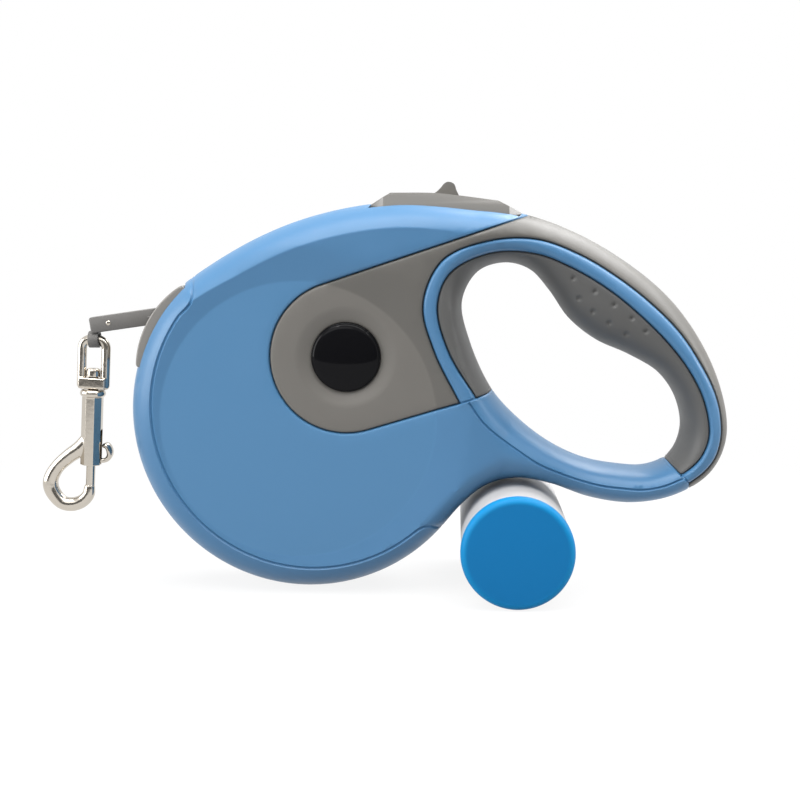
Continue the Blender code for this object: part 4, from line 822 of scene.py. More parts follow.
def tube(name, points, radii, sides, flat=1.0):
    """A closed bar along points in the local X-Z plane, round or flattened across Y, with rounded ends."""
    points = np.array(points, float)
    flats = np.broadcast_to(flat, len(points))
    along = unit_rows(np.gradient(points, axis=0))
    across = sideways(along)

    def cap(end, side):
        rows = radii[end] * direction((25, 50, 75))
        return [(points[end] + side * along[end] * out, across[end], left, flats[end]) for left, out in rows]

    rows = cap(0, -1)[::-1] + list(zip(points, across, radii, flats)) + cap(-1, 1)
    section = circle(0, 1, sides)
    rings = [[at(place + side * radius * x, deep * radius * y) for x, y in section]
             for place, side, radius, deep in rows]
    return lofted(name, rings)


def arc_profile(middle, radius, start, end, count):
    return list(np.array(middle) + radius * direction(np.linspace(start, end, count)))


def dome(radius, base, rise, count):
    """Profile of a domed end, from its top on the axis out to its edge."""
    return [(radius * out, base + rise * up) for up, out in direction(np.linspace(0, 90, count))]


def block(name, low, high):
    form = bmesh.new()
    bmesh.ops.create_cube(form, size=1.0)
    size = Vector(high) - Vector(low)
    middle = (Vector(high) + Vector(low)) / 2
    form.transform(Matrix.Translation(middle) @ Matrix.Diagonal((*size, 1)))
    return mesh_object(name, form)


def merged(name, objects):
    """Several meshes as one object."""
    form = bmesh.new()
    for obj in objects:
        obj.data.transform(obj.matrix_world)
        form.from_mesh(obj.data)
        bpy.data.objects.remove(obj)
    return mesh_object(name, form)


def fused(name, objects, voxel, soften):
    """One skin round overlapping closed meshes, with its corners softened."""
    obj = merged(name, objects)
    remesh = obj.modifiers.new("fuse", "REMESH")
    remesh.mode = "VOXEL"
    remesh.voxel_size = voxel
    smooth = obj.modifiers.new("soften", "SMOOTH")
    smooth.factor = 0.5
    smooth.iterations = soften
    return settled(obj)


def finish(obj, material, body, replaced=(), sharp=40):
    """Shading, material, the body that carries the piece and the CAD nodes that it stands for."""
    obj.data.materials.clear()
    obj.data.materials.append(material)
    obj.data.shade_smooth()
    if sharp:
        obj.data.set_sharp_from_angle(angle=math.radians(sharp))
    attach(obj, body)
    if replaced:
        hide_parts(*replaced)
    return obj


def at(place, depth=0.0):
    return (place[0], depth, place[1])


# Materials

def feed(tree, made, inputs):
    """Gives each named input of a node its value, or the output that it follows."""
    for name, value in inputs.items():
        if isinstance(value, bpy.types.NodeSocket):
            tree.links.new(value, made.inputs[name])
        else:
            made.inputs[name].default_value = value


def node(tree, kind, output, inputs=None, **settings):
    """Adds a shader node and returns one of its outputs."""
    made = tree.nodes.new("ShaderNode" + kind)
    for name, value in settings.items():
        setattr(made, name, value)
    feed(tree, made, inputs or {})
    return made.outputs[output]


def mixed(tree, share, first, second):
    """One colour at share 0 and another at share 1, by the mix node's numbered colour sockets."""
    return node(tree, "Mix", 2, {0: share, 6: first, 7: second}, data_type="RGBA")


def seen_rays(tree):
    """1 for rays from the camera, reflections and clear pieces, and 0 for rays that only carry light."""
    path = tree.nodes.new("ShaderNodeLightPath").outputs
    seen = path["Is Camera Ray"]
    for kind in ("Is Glossy Ray", "Is Transmission Ray"):
        seen = node(tree, "Math", "Value", {0: seen, 1: path[kind]}, operation="MAXIMUM")
    return seen


def new_material(name):
    made = bpy.data.materials.new(name)
    made.use_nodes = True
    return made, made.node_tree, made.node_tree.nodes["Principled BSDF"]


def surface(name, colour, roughness, metallic=0.0, vary=0.05, grain=0.0, grain_scale=1800.0, spread=0.05,
            sheen=0.0, specular=0.5, weave=None, ring=None):
    """Moulded plastic, rubber, webbing or metal: uneven colour, uneven gloss and a fine grain."""
    made, tree, shader = new_material(name)
    place = node(tree, "TexCoord", "Object")

    def noise(scale, detail, rough):
        inputs = {"Vector": place, "Scale": scale, "Detail": detail, "Roughness": rough}
        return node(tree, "TexNoise", "Fac", inputs)

    low, high = [(*[min(1.0, c * share) for c in colour], 1) for share in (1 - vary, 1 + vary)]
    shade = mixed(tree, noise(55.0, 4.0, 0.55), low, high)
    # The ring is painted light: a paler colour where a reflection or sheen would brighten the surface
    if ring:
        shade = painted_light_ring(tree, place, shade, *ring)
    gloss = node(tree, "MapRange", "Result", {
        "Value": noise(140.0, 5.0, 0.6), "From Min": 0.3, "From Max": 0.7,
        "To Min": max(0.02, roughness - spread), "To Max": roughness + spread,
    })
    feed(tree, shader, {
        "Base Color": shade, "Roughness": gloss, "Metallic": metallic, "Specular IOR Level": specular,
        "Sheen Weight": sheen, "Sheen Roughness": 0.4,
    })
    if weave:
        turn, scale, grain = weave
        pattern = woven(tree, place, turn, scale)
    elif grain:
        pattern = noise(grain_scale, 3.0, 0.5)
    if grain:
        bump = node(tree, "Bump", "Normal", {"Strength": 1.0, "Distance": grain, "Height": pattern})
        feed(tree, shader, {"Normal": bump})
    return made


def painted_light_ring(tree, place, shade, centre, inner, outer, colour):
    """Painted light: a paler colour, as a painted reflection on a flat disc or a painted sheen on a thin rim,
    from one distance from its line along Y to another.
    """
    away = node(tree, "VectorMath", "Vector", {0: place, 1: centre}, operation="SUBTRACT")
    flat = node(tree, "VectorMath", "Vector", {0: away, 1: (1, 0, 1)}, operation="MULTIPLY")
    reach = node(tree, "VectorMath", "Value", {0: flat}, operation="LENGTH")
    edges = {"Value": reach, "From Min": inner, "From Max": outer}
    share = node(tree, "MapRange", "Result", edges, interpolation_type="SMOOTHSTEP")
    return mixed(tree, share, shade, (*colour, 1))


def woven(tree, place, turn, scale):
    """Crossing ribs of a woven tape: along it and across its width."""
    lie = node(tree, "Mapping", "Vector", {"Vector": place, "Rotation": (0, turn, 0)})
    ribs = {"Vector": lie, "Scale": scale, "Distortion": 0.0}
    along, across = [node(tree, "TexWave", "Fac", ribs, bands_direction=axis) for axis in ("X", "Y")]
    return node(tree, "Math", "Value", {0: along, 1: across}, operation="MULTIPLY")


# Painted reflection: inside the plateau's flat disc the blue casing and the grey cover get a paler colour, in
# place of the front light reflected by the flat disc
PAINTED_REFLECTION_DISC = (at(PLATEAU_CENTRE), PLATEAU_RADIUS + 0.7 * MM, PLATEAU_RADIUS - 0.3 * MM)
# Painted sheen: the cap's rounded rim gets a paler blue, in place of the light that its edge catches
CAP_PAINTED_SHEEN_RIM = ((DISPENSER_X, 0, DISPENSER_RADIUS), 15.0 * MM, 16.6 * MM)
# The ring colours of BLUE and GREY are that painted reflection, paler than the plastic and the rubber
# themselves
BLUE = surface("shell_blue_plastic", (0.065, 0.190, 0.360), 0.38, vary=0.04, grain=0.012 * MM,
               grain_scale=1500.0, specular=0.46, ring=(*PAINTED_REFLECTION_DISC, (0.074, 0.211, 0.392)))
GREY = surface("grip_grey_rubber", (0.115, 0.110, 0.100), 0.45, grain=0.015 * MM, grain_scale=2600.0,
               ring=(*PAINTED_REFLECTION_DISC, (0.150, 0.142, 0.129)))
GRIP_RUBBER = surface("inner_grip_rubber", (0.090, 0.090, 0.088), 0.5, grain=0.015 * MM, grain_scale=2600.0)
TRIM = surface("trim_grey_plastic", (0.215, 0.204, 0.188), 0.3, vary=0.02, grain=0.004 * MM, spread=0.01)
BUTTON_GREY = surface("button_grey_plastic", (0.165, 0.157, 0.143), 0.24, vary=0.02, grain=0.004 * MM,
                      spread=0.01, specular=0.6)
BLACK = surface("badge_black_gloss", (0.005, 0.005, 0.006), 0.06, vary=0.1, spread=0.02, specular=0.1)
NICKEL = surface("nickel_plate", (0.57, 0.525, 0.46), 0.13, metallic=1.0, grain=0.02 * MM, grain_scale=500.0)
STEEL = surface("zinc_steel", (0.50, 0.50, 0.49), 0.32, metallic=1.0, vary=0.08, grain=0.008 * MM,
                spread=0.08)
SLEEVE = surface("sleeve_grey_webbing", (0.145, 0.140, 0.134), 0.6, vary=0.06, sheen=0.15, specular=0.35,
                 weave=(TAPE_ANGLE, 520.0, 0.015 * MM))
TAPE = surface("tape_grey_webbing", (0.15, 0.145, 0.14), 0.75, vary=0.08, sheen=0.2, specular=0.3,
               weave=(TAPE_ANGLE, 420.0, 0.08 * MM))
INNER = surface("inner_white_plastic", (0.60, 0.60, 0.58), 0.5, vary=0.04, grain=0.01 * MM)
BARREL = surface("dispenser_grey_plastic", (0.50, 0.49, 0.485), 0.45, vary=0.04, grain=0.015 * MM,
                 grain_scale=1400.0)
# The cap's paler rim colour is painted sheen
CAP = surface("cap_blue_plastic", (0.003, 0.162, 0.405), 0.45, vary=0.03, grain=0.015 * MM,
              grain_scale=1600.0, specular=0.18, ring=(*CAP_PAINTED_SHEEN_RIM, (0.004, 0.225, 0.51)))


# Casing, covers and grips

def vertex_normals(corners, faces):
    normals = np.zeros_like(corners)
    a, b, c = (corners[faces[:, k]] for k in range(3))
    facing = np.cross(b - a, c - a)
    for k in range(3):
        np.add.at(normals, faces[:, k], facing)
    return unit_rows(normals)


def front(points, height):
    return np.column_stack([points[:, 0], -PARTING - height, points[:, 1]])


def closed_skin(name, outer, inner, faces):
    """A closed wall between an outer and an inner skin that share their triangles."""
    used = np.unique(faces)
    index = np.full(len(outer), -1)
    index[used] = np.arange(len(used))
    faces = index[faces]
    count = len(used)
    sides = np.vstack([faces[:, [0, 1]], faces[:, [1, 2]], faces[:, [2, 0]]])
    key = np.sort(sides, axis=1)
    _, first, times = np.unique(key, axis=0, return_index=True, return_counts=True)
    rim = sides[first[times == 1]]
    walls = [(b, a, a + count, b + count) for a, b in rim.tolist()]
    corners = np.vstack([outer[used], inner[used]])
    mesh = bpy.data.meshes.new(name)
    mesh.from_pydata(corners.tolist(), [], faces.tolist() + (faces[:, ::-1] + count).tolist() + walls)
    return new_object(name, mesh)


def seam_shift(corners, loop, faces, side):
    """Finds the corners that lie on a seam, and how far they move off it to leave a fine gap there."""
    used = np.unique(faces)
    near = used[distance_to(corners[used], loop) < 3e-6]
    nearest = [int(np.argmin(np.linalg.norm(loop - corners[k], axis=1))) for k in near]
    return near, loop_normals(loop)[nearest] * SEAM_HALF * side


def make_casing():
    corners, faces, zone, in_well, on_edge, cover, grip = casing_net()
    plain = plain_height(corners)
    plain[on_edge] = 0.0
    height = plain + detail_height(corners) * smooth_step(plain, 0.0, 2.0 * MM)
    base = front(corners, plain)
    normals = vertex_normals(base, faces)
    normals[on_edge, 1] = 0.0
    normals = unit_rows(normals)
    outer = front(corners, height)
    pieces = (
        (0, "casing", BLUE, "shell_blue"),
        (1, "side_cover", GREY, "grip_grey"),
        (2, "inner_grip", GRIP_RUBBER, "grip_grey"),
    )
    for number, name, material, slot in pieces:
        chosen = faces[zone == number]
        thick = np.maximum(SHELL_WALL, plain - height + LEAST_WALL)
        skin, wall = outer.copy(), base - normals * thick[:, None]
        for loop, own in ((cover, 1), (grip, 2)):
            near, moves = seam_shift(corners, loop, chosen, -1 if own == number else 1)
            for axis, column in ((0, 0), (2, 1)):
                skin[near, axis] += moves[:, column]
                wall[near, axis] += moves[:, column] * SEAM_FOOT
        piece = closed_skin(name + "_front_skin", skin, wall, chosen)
        chosen = faces[(zone == number) & ~in_well][:, ::-1]
        twin = closed_skin(name + "_back_skin", skin * MIRROR, wall * MIRROR, chosen)
        if number == 0:
            twin = merged(name + "_back_skin", [twin] + screw_wells())
        finish(piece, material, "casing", [name + "_front"], 36)
        finish(twin, material, "casing", [name + "_back"], 36)


def screw_places():
    radius = FLANGE_RADIUS + RUN_GAP + BOSS_RADIUS
    return np.vstack([REEL + radius * direction(RIM_SCREWS_DEG), from_reel(HANDLE_SCREWS)])


def screw_wells():
    """The walls round the case screws' heads, inside the back of the casing."""
    hole = SCREW_HEAD_RADIUS + GAP
    neck = 0.6 * hole
    low = SCREW_SEAT - 1.2 * MM
    wells = []
    for place, height in zip(screw_places(), plain_height(screw_places())):
        end = height - 0.8 * MM
        profile = [(hole, end), (BOSS_RADIUS, end), (BOSS_RADIUS, low), (neck, low), (neck, SCREW_SEAT)]
        wells.append(turned("well", profile + [(hole, SCREW_SEAT)], 28, at(place)))
    return wells


def make_badges():
    face = plain_height(PANEL_CENTRE[None, :])[0] - PLATEAU_SINK + PARTING
    rim = face - DISH_DEPTH + GAP
    foot = face - SKIN - GAP
    edge = BADGE_RADIUS - BADGE_EDGE
    profile = dome(edge, rim + BADGE_LIP, BADGE_CROWN - BADGE_LIP, 20)
    profile += [(edge + out, up) for out, up in dome(BADGE_EDGE, rim, BADGE_LIP, 20)[4::5]]
    profile += [(BADGE_RADIUS, foot), (0, foot)]
    for name, side in (("badge_front", -1), ("badge_back", 1)):
        badge = turned(name + "_dome", [(out, side * up) for out, up in profile], 96, at(PANEL_CENTRE))
        finish(badge, BLACK, "casing", [name])


def make_screws():
    """Pan heads with a cross recess, on plain shanks."""
    seat = SCREW_SEAT + GAP
    profile = dome(SCREW_HEAD_RADIUS, seat + 0.4 * MM, SCREW_RISE, 7)
    profile += [(SCREW_HEAD_RADIUS, seat), (SHANK_RADIUS, seat), (SHANK_RADIUS, SHANK_END + SHANK_RADIUS)]
    profile.append((0, SHANK_END))
    for name, place in zip(SCREW_NAMES, screw_places()):
        screw = turned("case_screw_" + name + "_cross", profile, 32, at(place))
        for half in (CROSS_HALF, CROSS_HALF[::-1]):
            recess = block("recess", at(place - half, seat + 0.5 * MM), at(place + half, seat + 4.0 * MM))
            screw = joined(screw, recess, "DIFFERENCE")
        finish(screw, STEEL, "casing", ["case_screw_" + name], 30)


# Outlet, tape and its sewn end

def nozzle_loop():
    away = direction(np.linspace(*nozzle_angles(0.0), 41))
    swell = np.sin(np.linspace(0, np.pi, len(away))) ** NOZZLE_SWELL
    outer = BODY_RADIUS - NOZZLE_SUNK + (NOZZLE_PROUD - NOZZLE_SPARE + NOZZLE_SUNK) * swell
    inner = BODY_RADIUS - NOZZLE_DEPTH
    return REEL + np.vstack([away * outer[:, None], away[::-1] * inner])


def tape_points(places):
    """Points given by their way along the tape and their height over its middle."""
    return np.array([TAPE_START + OUTWARD * along + UPWARD * up for along, up in places])


def on_circle(radius, height):
    return math.sqrt(radius ** 2 - (TAPE_OFFSET + height) ** 2)


def make_nozzle():
    nozzle = plate("outlet_nozzle_lip", nozzle_loop(), -NOZZLE_HALF_WIDTH, NOZZLE_HALF_WIDTH)
    nozzle = rounded(nozzle, NOZZLE_ROUND, 4, 50)
    near, far = TAPE_EXIT - 3 * NOZZLE_DEPTH, TAPE_EXIT + 2 * NOZZLE_DEPTH
    rise = SLOT_HEIGHT / 2
    slot = tape_points([(near, -rise), (near, rise), (far, rise), (far, -rise)])
    side = TAPE_WIDTH / 2 + RUN_GAP
    nozzle = joined(nozzle, plate("slot", slot, -side, side), "DIFFERENCE")
    finish(nozzle, TRIM, "casing", ["outlet_nozzle"], 35)


def make_tape():
    """Woven tape with thick selvedges, the wound roll, the sewn end, its loop and its rivet."""
    half = TAPE_THICKNESS / 2
    edge = TAPE_WIDTH / 2
    upper = [(-edge + y * MM, h * half) for y, h in SELVEDGE]
    upper += [(-y, h) for y, h in upper[::-1]]
    section = [(-edge, -upper[0][1])] + upper + [(y, -h) for y, h in upper[:0:-1]]
    rings = [[at(tape_points([(along, h)])[0], y) for y, h in section]
             for along in np.linspace(2 * GAP, TAPE_EXIT + GAP, 60)]
    finish(lofted("tape_strip", rings), TAPE, "tape", ["leash_tape"], 50)
    finish(make_roll(), TAPE, "reel", ["leash_roll"], 40)
    finish(make_sleeve(), SLEEVE, "tape", ["end_sleeve"], 40)
    rivet = TAPE_START + OUTWARD * (TAPE_EXIT + SLEEVE_LENGTH - RIVET_FROM_END)
    seat = SLEEVE_WIDTH / 2
    profile = dome(RIVET_RADIUS, seat, RIVET_RISE, 6) + [(RIVET_SHANK, seat - 0.1 * MM)]
    profile += [(radius, -height) for radius, height in profile[::-1]]
    rivet = turned("sleeve_rivet_head", profile, 24, at(rivet))
    finish(rivet, NICKEL, "tape", ["sleeve_rivet"], 40)


def make_roll():
    """The tape wound on the drum as one spiral band."""
    inner, outer = DRUM_RADIUS + GAP, ROLL_RADIUS - TAPE_THICKNESS
    turns = int((outer - inner) / (TAPE_THICKNESS + ROLL_AIR))
    count = 40 * turns + 1
    away = direction(np.linspace(0, 360 * turns, count))
    radii = np.linspace(inner, outer, count)[:, None]
    near, far = REEL + away * radii, REEL + away * (radii + ROLL_BAND * TAPE_THICKNESS)
    edge = TAPE_WIDTH / 2
    rings = [[at(a, -edge), at(b, -edge), at(b, edge), at(a, edge)] for a, b in zip(near, far)]
    return lofted("tape_roll", rings)


def pivot_place():
    along = TAPE_EXIT + SLEEVE_LENGTH - SLEEVE_LOOP_WALL
    below = SLEEVE_HEIGHT / 2 + EYE_BAR_RADIUS + RUN_GAP
    return TAPE_START + OUTWARD * along - UPWARD * below


def make_sleeve():
    """The stiff sewn end of the tape, with the fold that holds the eye's bar."""
    half = SLEEVE_HEIGHT / 2
    stop = NOZZLE_RADIUS - NOZZLE_SPARE + 2 * GAP
    corners = [(on_circle(stop, -half), -half), (on_circle(stop, half), half)]
    far = TAPE_EXIT + SLEEVE_LENGTH - SLEEVE_SHORT
    corners += [(far, half), (far, -half)]
    sleeve = plate("tape_end_sleeve", tape_points(corners), -SLEEVE_WIDTH / 2, SLEEVE_WIDTH / 2)
    sleeve = rounded(sleeve, 0.8 * MM, 4)
    bore = EYE_BAR_RADIUS + GAP
    wide = SLEEVE_LOOP_WIDTH / 2
    place = at(pivot_place())
    outer = bore + SLEEVE_LOOP_WALL
    ring = turned("fold", [(bore, -wide), (bore, wide), (outer, wide), (outer, -wide)], 40, place, "X")
    ring = rounded(ring, 0.25 * MM)
    return merged("tape_end_sleeve", [sleeve, ring])


# Bolt snap

def snap_frame():
    """From the snap's own millimetres to its place under the tape's end."""
    tilt = Matrix.Rotation(math.radians(SNAP_TILT_DEG), 4, "Y")
    return Matrix.Translation(at(pivot_place())) @ tilt @ Matrix.Scale(MM, 4)


def placed(obj):
    obj.data.transform(snap_frame())
    return obj


def upright(name, profile, sides):
    return turned(name, profile, sides, axis="Z")


def bored(obj, radius, low, high):
    bore = upright("bore", [(0, low), (radius, low), (radius, high), (0, high)], 32)
    return joined(obj, bore, "DIFFERENCE")


def make_snap():
    path = [(-EYE_HALF, z) for z in np.linspace(-15.0, -EYE_CORNER - 0.6, 14)]
    path += arc_profile((EYE_CORNER - EYE_HALF, -EYE_CORNER), EYE_CORNER, 180, 90, 12)
    path += [(-x, z) for x, z in path[::-1]]
    loop = tube("loop", path, [EYE_WIRE] * len(path), 24)
    base = rounded(block("base", (-4.4, -2.8, -16.1), (4.4, 2.8, SNAP_BASE)), 0.5)
    eye = bored(fused("swivel_eye_cast", [loop, base], SNAP_VOXEL, 3), 1.7, -20, -10)
    finish(placed(eye), NICKEL, "eye", ["swivel_eye"], 50)
    profile = [(0, STEM_TOP), (1.5, STEM_TOP), (2.1, STEM_TOP - 0.35), (2.3, STEM_TOP - 1.0)]
    profile += [(2.3, STEM_FOOT), (1.4, STEM_FOOT), (1.4, STEM_END), (0, STEM_END)]
    stem = upright("stem", profile, 40)
    mid = (SNAP_COLLAR + SNAP_BARREL) / 2
    ring = [(COLLAR_RADIUS + out, mid - 1.2 * up) for out, up in direction(np.linspace(-90, 90, 9))]
    collar = upright("collar", [(0, SNAP_COLLAR)] + ring + [(0, SNAP_BARREL)], 48)
    octagon = BARREL_RADIUS * direction(22.5 + 45 * np.arange(8))
    barrel = standing("barrel", octagon, SNAP_FOOT, SNAP_BARREL + 0.6)
    path = spline(HOOK_BEND, 6, False)
    radii = np.interp(np.linspace(0, 1, len(path)), np.linspace(0, 1, len(HOOK_RADII)), HOOK_RADII)
    hook = tube("hook", path, radii, 24, 0.95)
    body = bored(fused("hook_cast", [barrel, collar, stem, hook], SNAP_VOXEL, 2), 1.8, -41.9, -21.5)
    slot = rounded(block("slot", (0, -1.3, -40.9), (6.0, 1.3, -29.5)), 0.6)
    body = joined(body, slot, "DIFFERENCE")
    finish(placed(body), NICKEL, "hook", ["hook_body"], 50)
    finish(placed(make_bolt()), NICKEL, "bolt", ["hook_bolt"], 50)


def make_bolt():
    """The sliding bolt with its curled thumb lever."""
    tip = [(0, BOLT_LOW), (1.15, BOLT_LOW), (1.42, BOLT_LOW + 0.12), (1.5, BOLT_LOW + 0.4)]
    pin = upright("pin", tip + [(1.5, BOLT_TOP - 0.3), (1.2, BOLT_TOP), (0, BOLT_TOP)], 40)
    curl = spline(LEVER_CURL, 6, False)
    share = np.linspace(0, 1, len(curl))
    radii = 0.8 + 0.3 * smooth_step(share, 0.3, 0.6) - 0.25 * smooth_step(share, 0.85, 1.0)
    lever = tube("lever", curl, radii, 18, 1.2 + 0.9 * smooth_step(share, 0.35, 0.65))
    return fused("hook_bolt_cast", [pin, lever], 0.8 * SNAP_VOXEL, 2)


# Thumb brake

def tab_points(places):
    """Points given by their way along the button's top from the fin's middle, and their rise over it."""
    top = button_top()
    slope = (top[2] - top[3]) / np.linalg.norm(top[2] - top[3])
    up = np.array([slope[1], -slope[0]])
    x = REEL_X + TAB_AHEAD
    middle = np.array([x, np.interp(x, *top.T)])
    return np.array([middle + slope * along + up * rise for along, rise in places])


def cut_plan(low, high, half_width, corner):
    """Loop of a rectangle with its corners cut off, along X and across Y."""
    near, far, side = low + corner, high - corner, half_width - corner
    middles = [(far, side), (near, side), (near, -side), (far, -side)]
    turns = [(0, 90), (90, 180), (180, 270), (270, 360)]
    return np.vstack([middle + corner * direction(turn) for middle, turn in zip(middles, turns)])


def drafted(obj, start, end):
    """Leans the sides inward above a line through two points."""
    form = bmesh.new()
    form.from_mesh(obj.data)
    along = (end - start) / np.linalg.norm(end - start)
    upward = Vector((-along[1], 0, along[0]))
    base = Vector(at(start)) - DRAFT_BELOW * upward
    geometry = form.verts[:] + form.edges[:] + form.faces[:]
    bmesh.ops.bisect_plane(form, geom=geometry, plane_co=base, plane_no=upward)
    for corner in form.verts:
        rise = max(0.0, (corner.co - base).dot(upward))
        corner.co.y *= 1 - DRAFT * rise / BUTTON_HALF_WIDTH
    name = obj.name
    bpy.data.objects.remove(obj)
    return mesh_object(name, form)


def make_brake():
    top = button_top()
    front_end, back_end = top[0][0], top[-1][0]
    foot = top_edge_height(top[2:4, 0].mean()) - BUTTON_SKIRT
    crown = spline(top[1:5], 8, False)
    loop = np.vstack([top[:1], crown, top[5:], [(back_end, foot), (front_end, foot)]])
    button = plate("brake_button_pad", loop, -BUTTON_HALF_WIDTH, BUTTON_HALF_WIDTH)
    plan = cut_plan(front_end, back_end, BUTTON_HALF_WIDTH, BUTTON_CORNER)
    button = joined(button, standing("plan", plan, foot - MM, top[:, 1].max() + 5 * MM), "INTERSECT")
    button = rounded(drafted(button, top[0], top[-1]), SMALL_ROUND, 4, 17)
    across = np.linspace(front_end + RUN_GAP / 2, back_end - RUN_GAP / 2, 14)
    ledge = [(x, top_edge_height(x) - BUTTON_LEDGE) for x in across]
    side = BUTTON_HALF_WIDTH - RUN_GAP / 4
    skirt = plate("skirt", [(across[0], foot)] + ledge + [(across[-1], foot)], -side, side)
    button = joined(button, skirt, "UNION")
    half = TAB_LENGTH / 2
    side = TAB_WIDTH / 2
    rear, ahead = -half - GAP, half + TAB_TRAVEL + GAP
    low, high = -TAB_GROOVE, 4 * TAB_GROOVE
    track = tab_points([(rear, low), (rear, high), (ahead, high), (ahead, low)])
    button = joined(button, plate("track", track, -side - GAP, side + GAP), "DIFFERENCE")
    finish(button, BUTTON_GREY, "brake", ["brake_button"], 35)
    ridge = spline([(along * half, rise * MM) for along, rise in TAB_RIDGE], 6, False)
    loop = tab_points(np.vstack([ridge, [(-half, GAP + low), (half, GAP + low)]]))
    tab = rounded(plate("lock_tab_ridge", loop, -side, side), SMALL_ROUND, 4, 45)
    finish(tab, BUTTON_GREY, "lock", ["lock_tab"], 35)


# Waste-bag dispenser

def make_dispenser():
    place = (DISPENSER_X, 0, DISPENSER_RADIUS)
    half = DISPENSER_LENGTH / 2
    inner = DISPENSER_RADIUS - DISPENSER_WALL
    back = -half + CAP_THICKNESS
    mouth = back + GAP
    body = DISPENSER_RADIUS - BARREL_SINK
    floor = half - DISPENSER_WALL
    profile = [(body, mouth), (DISPENSER_RADIUS, mouth + BARREL_SINK), (DISPENSER_RADIUS, mouth + 1.4 * MM)]
    profile.append((body, mouth + 1.7 * MM))
    profile += arc_profile((body - BARREL_ROUND, half - BARREL_ROUND), BARREL_ROUND, 0, 90, 8)
    profile += [(0, half), (0, floor), (inner, floor), (inner, mouth)]
    barrel = turned("dispenser_barrel_cup", profile, 112, place)
    wide, long = BAG_SLOT_WIDTH / 2, BAG_SLOT_LENGTH / 2
    slot = rounded(block("slot", (5 * MM, -long, -wide), (2 * DISPENSER_RADIUS, long, wide)), 2.4 * MM, 5)
    slot.data.transform(Matrix.Translation(place))
    barrel = joined(barrel, slot, "DIFFERENCE")
    finish(barrel, BARREL, "casing", ["dispenser_barrel"], 35)
    plug = inner - GAP
    hollow = plug - CAP_PLUG_WALL
    end = back + CAP_PLUG
    chamfer = 0.15 * MM
    profile = [(0, -half)]
    profile += arc_profile((DISPENSER_RADIUS - CAP_ROUND, -half + CAP_ROUND), CAP_ROUND, -90, 0, 12)
    profile += [(DISPENSER_RADIUS, back - chamfer), (DISPENSER_RADIUS - chamfer, back), (plug, back)]
    profile += [(plug, end), (hollow, end), (hollow, back), (0, back)]
    cap = turned("dispenser_cap_lid", profile, 112, place)
    finish(cap, CAP, "cap", ["dispenser_cap"], 35)


# Return springs

def coil(name, radius, wire, ends, turns):
    """A coil spring with its axis upright, round the origin."""
    shares = np.linspace(0, 1, 24 * turns + 1)
    middles = ends[0] + wire + (ends[1] - ends[0] - 2 * wire) * shares
    section = circle((radius, 0), wire, 8)
    rings = [[(*(out * away), middle + up) for out, up in section]
             for away, middle in zip(direction(360 * turns * shares), middles)]
    return lofted(name, rings)


def pressed(spring, joint, fixed, moving):
    """Gives the spring a mesh of its own and leaves its length as it is."""
    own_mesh(spring)


def make_springs():
    ends = BOLT_SPRING_ENDS
    spring = coil("bolt_return_coil", BOLT_SPRING_RADIUS, BOLT_SPRING_WIRE, ends, BOLT_SPRING_TURNS)
    finish(placed(spring), STEEL, "hook", ["bolt_spring"], 0)
    pressed(spring, "bolt_slide", *[snap_frame() @ Vector((0, 0, end)) for end in ends[::-1]])
    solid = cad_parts["brake_spring"]
    corners = np.array([solid.matrix_world @ corner.co for corner in solid.data.vertices])
    low, high = corners.min(axis=0), corners.max(axis=0)
    seat = Vector(((low[0] + high[0]) / 2, 0, 0))
    ends = (low[2], high[2])
    spring = coil("brake_return_coil", BRAKE_SPRING_RADIUS, BRAKE_SPRING_WIRE, ends, BRAKE_SPRING_TURNS)
    spring.data.transform(Matrix.Translation(seat))
    finish(spring, STEEL, "casing", ["brake_spring"], 0)
    pressed(spring, "brake_press", *[seat + Vector((0, 0, end)) for end in ends])


# Inner pieces that stay as the CAD model has them

def dress_inner():
    finishes = {
        "reel_drum": INNER, "reel_flange": INNER, "spring_cover": INNER, "brake_plunger": INNER,
        "mainspring": STEEL, "axle_bush_front": STEEL, "axle_bush_back": STEEL, "axle": STEEL,
    }
    for name, material in finishes.items():
        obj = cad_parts[name]
        obj.data.materials.clear()
        obj.data.materials.append(material)


# Floor, light and camera

def make_stage():
    form = bmesh.new()
    bmesh.ops.create_grid(form, x_segments=2, y_segments=2, size=FLOOR_HALF)
    floor = mesh_object("floor", form)
    floor.location.z = -FLOOR_SINK
    made, tree, shader = new_material("pale_floor")
    seen = seen_rays(tree)
    pale = mixed(tree, seen, FLOOR_BOUNCE, FLOOR_SEEN)
    feed(tree, shader, {"Base Color": pale, "Roughness": 0.8, "Specular IOR Level": 0.1})
    away = node(tree, "VectorMath", "Value", {0: node(tree, "TexCoord", "Object")}, operation="LENGTH")
    near, far = FLOOR_GLOW_EDGES
    edges = {"Value": away, "From Min": near, "From Max": far, "To Min": FLOOR_GLOW}
    share = node(tree, "MapRange", "Result", edges, interpolation_type="SMOOTHSTEP")
    part = node(tree, "Math", "Value", {0: seen, 1: share}, operation="MULTIPLY")
    glow = node(tree, "Emission", "Emission", {"Strength": 1.0})
    mix = node(tree, "MixShader", "Shader", {0: part, 1: shader.outputs["BSDF"], 2: glow})
    feed(tree, tree.nodes["Material Output"], {"Surface": mix})
    floor.data.materials.append(made)


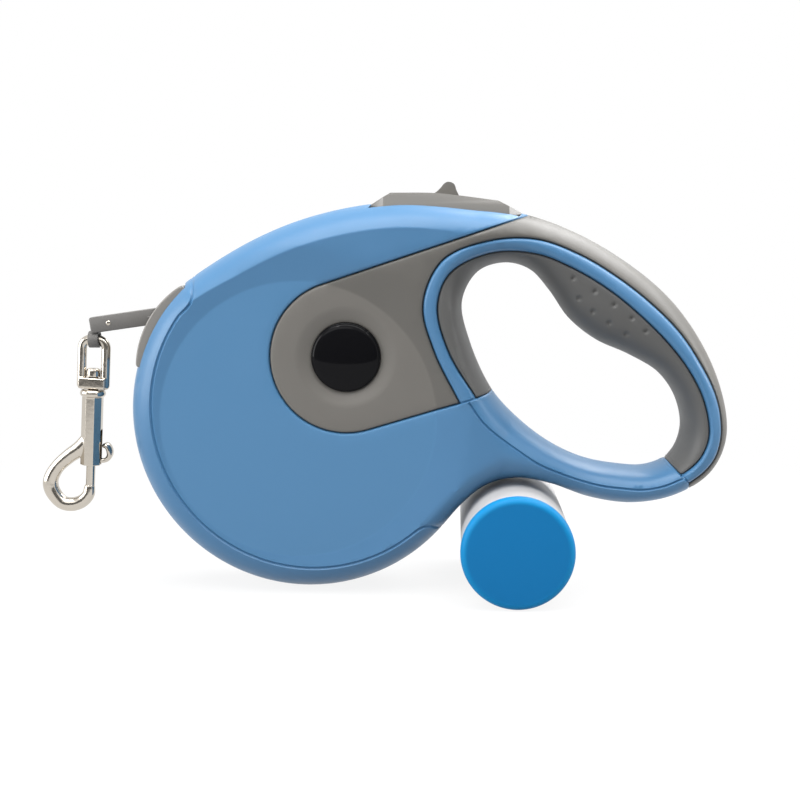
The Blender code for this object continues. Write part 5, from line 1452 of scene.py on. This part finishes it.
def make_world():
    world = bpy.data.worlds.new("studio")
    bpy.context.scene.world = world
    world.use_nodes = True
    tree = world.node_tree
    limits = {"Value": seen_rays(tree), "To Min": WORLD_LIGHT, "To Max": 1.0}
    strength = node(tree, "MapRange", "Result", limits)
    feed(tree, tree.nodes["Background"], {"Color": (1, 1, 1, 1), "Strength": strength})


def make_camera():
    data = bpy.data.cameras.new("camera")
    data.sensor_width = 36.0
    data.lens = CAMERA_FOCAL_PX * data.sensor_width / IMAGE_PX
    data.clip_start = 0.01
    camera = new_object("camera", data)
    camera.location = CAMERA_PLACE
    flat = math.cos(CAMERA_PITCH)
    ahead = Vector((-math.sin(CAMERA_YAW) * flat, math.cos(CAMERA_YAW) * flat, -math.sin(CAMERA_PITCH)))
    camera.rotation_euler = ahead.to_track_quat("-Z", "Y").to_euler()
    bpy.context.scene.camera = camera


def make_light():
    for name, place, target, size, power in LIGHTS:
        lamp = bpy.data.lights.new(name, "AREA")
        lamp.shape = "RECTANGLE"
        lamp.size, lamp.size_y = size
        lamp.energy = power
        obj = new_object(name, lamp)
        obj.location = place
        obj.rotation_euler = (Vector(target) - Vector(place)).to_track_quat("-Z", "Y").to_euler()
        obj.visible_camera = False


def make_card():
    """A dark card on the camera's side of the studio, which only reflections show."""
    made, tree, shader = new_material("dark_card")
    feed(tree, shader, {"Base Color": CARD_GREY, "Roughness": 0.9})
    form = bmesh.new()
    corners = [(-1, 0.0), (1, 0.0), (1, CARD_HEIGHT), (-1, CARD_HEIGHT)]
    form.faces.new([form.verts.new((side * CARD_HALF_WIDTH, CARD_Y, z)) for side, z in corners])
    card = mesh_object("card", form)
    card.data.materials.append(made)
    card.visible_camera = False
    card.visible_diffuse = False
    card.visible_shadow = False


def main():
    bpy.context.scene.view_settings.view_transform = "Standard"
    studio = (make_camera, make_world, make_light, make_card, make_stage)
    pieces = (make_casing, make_badges, make_screws, make_nozzle, make_tape, make_snap, make_brake,
              make_dispenser, make_springs, dress_inner)
    for make in studio + pieces:
        make()


main()
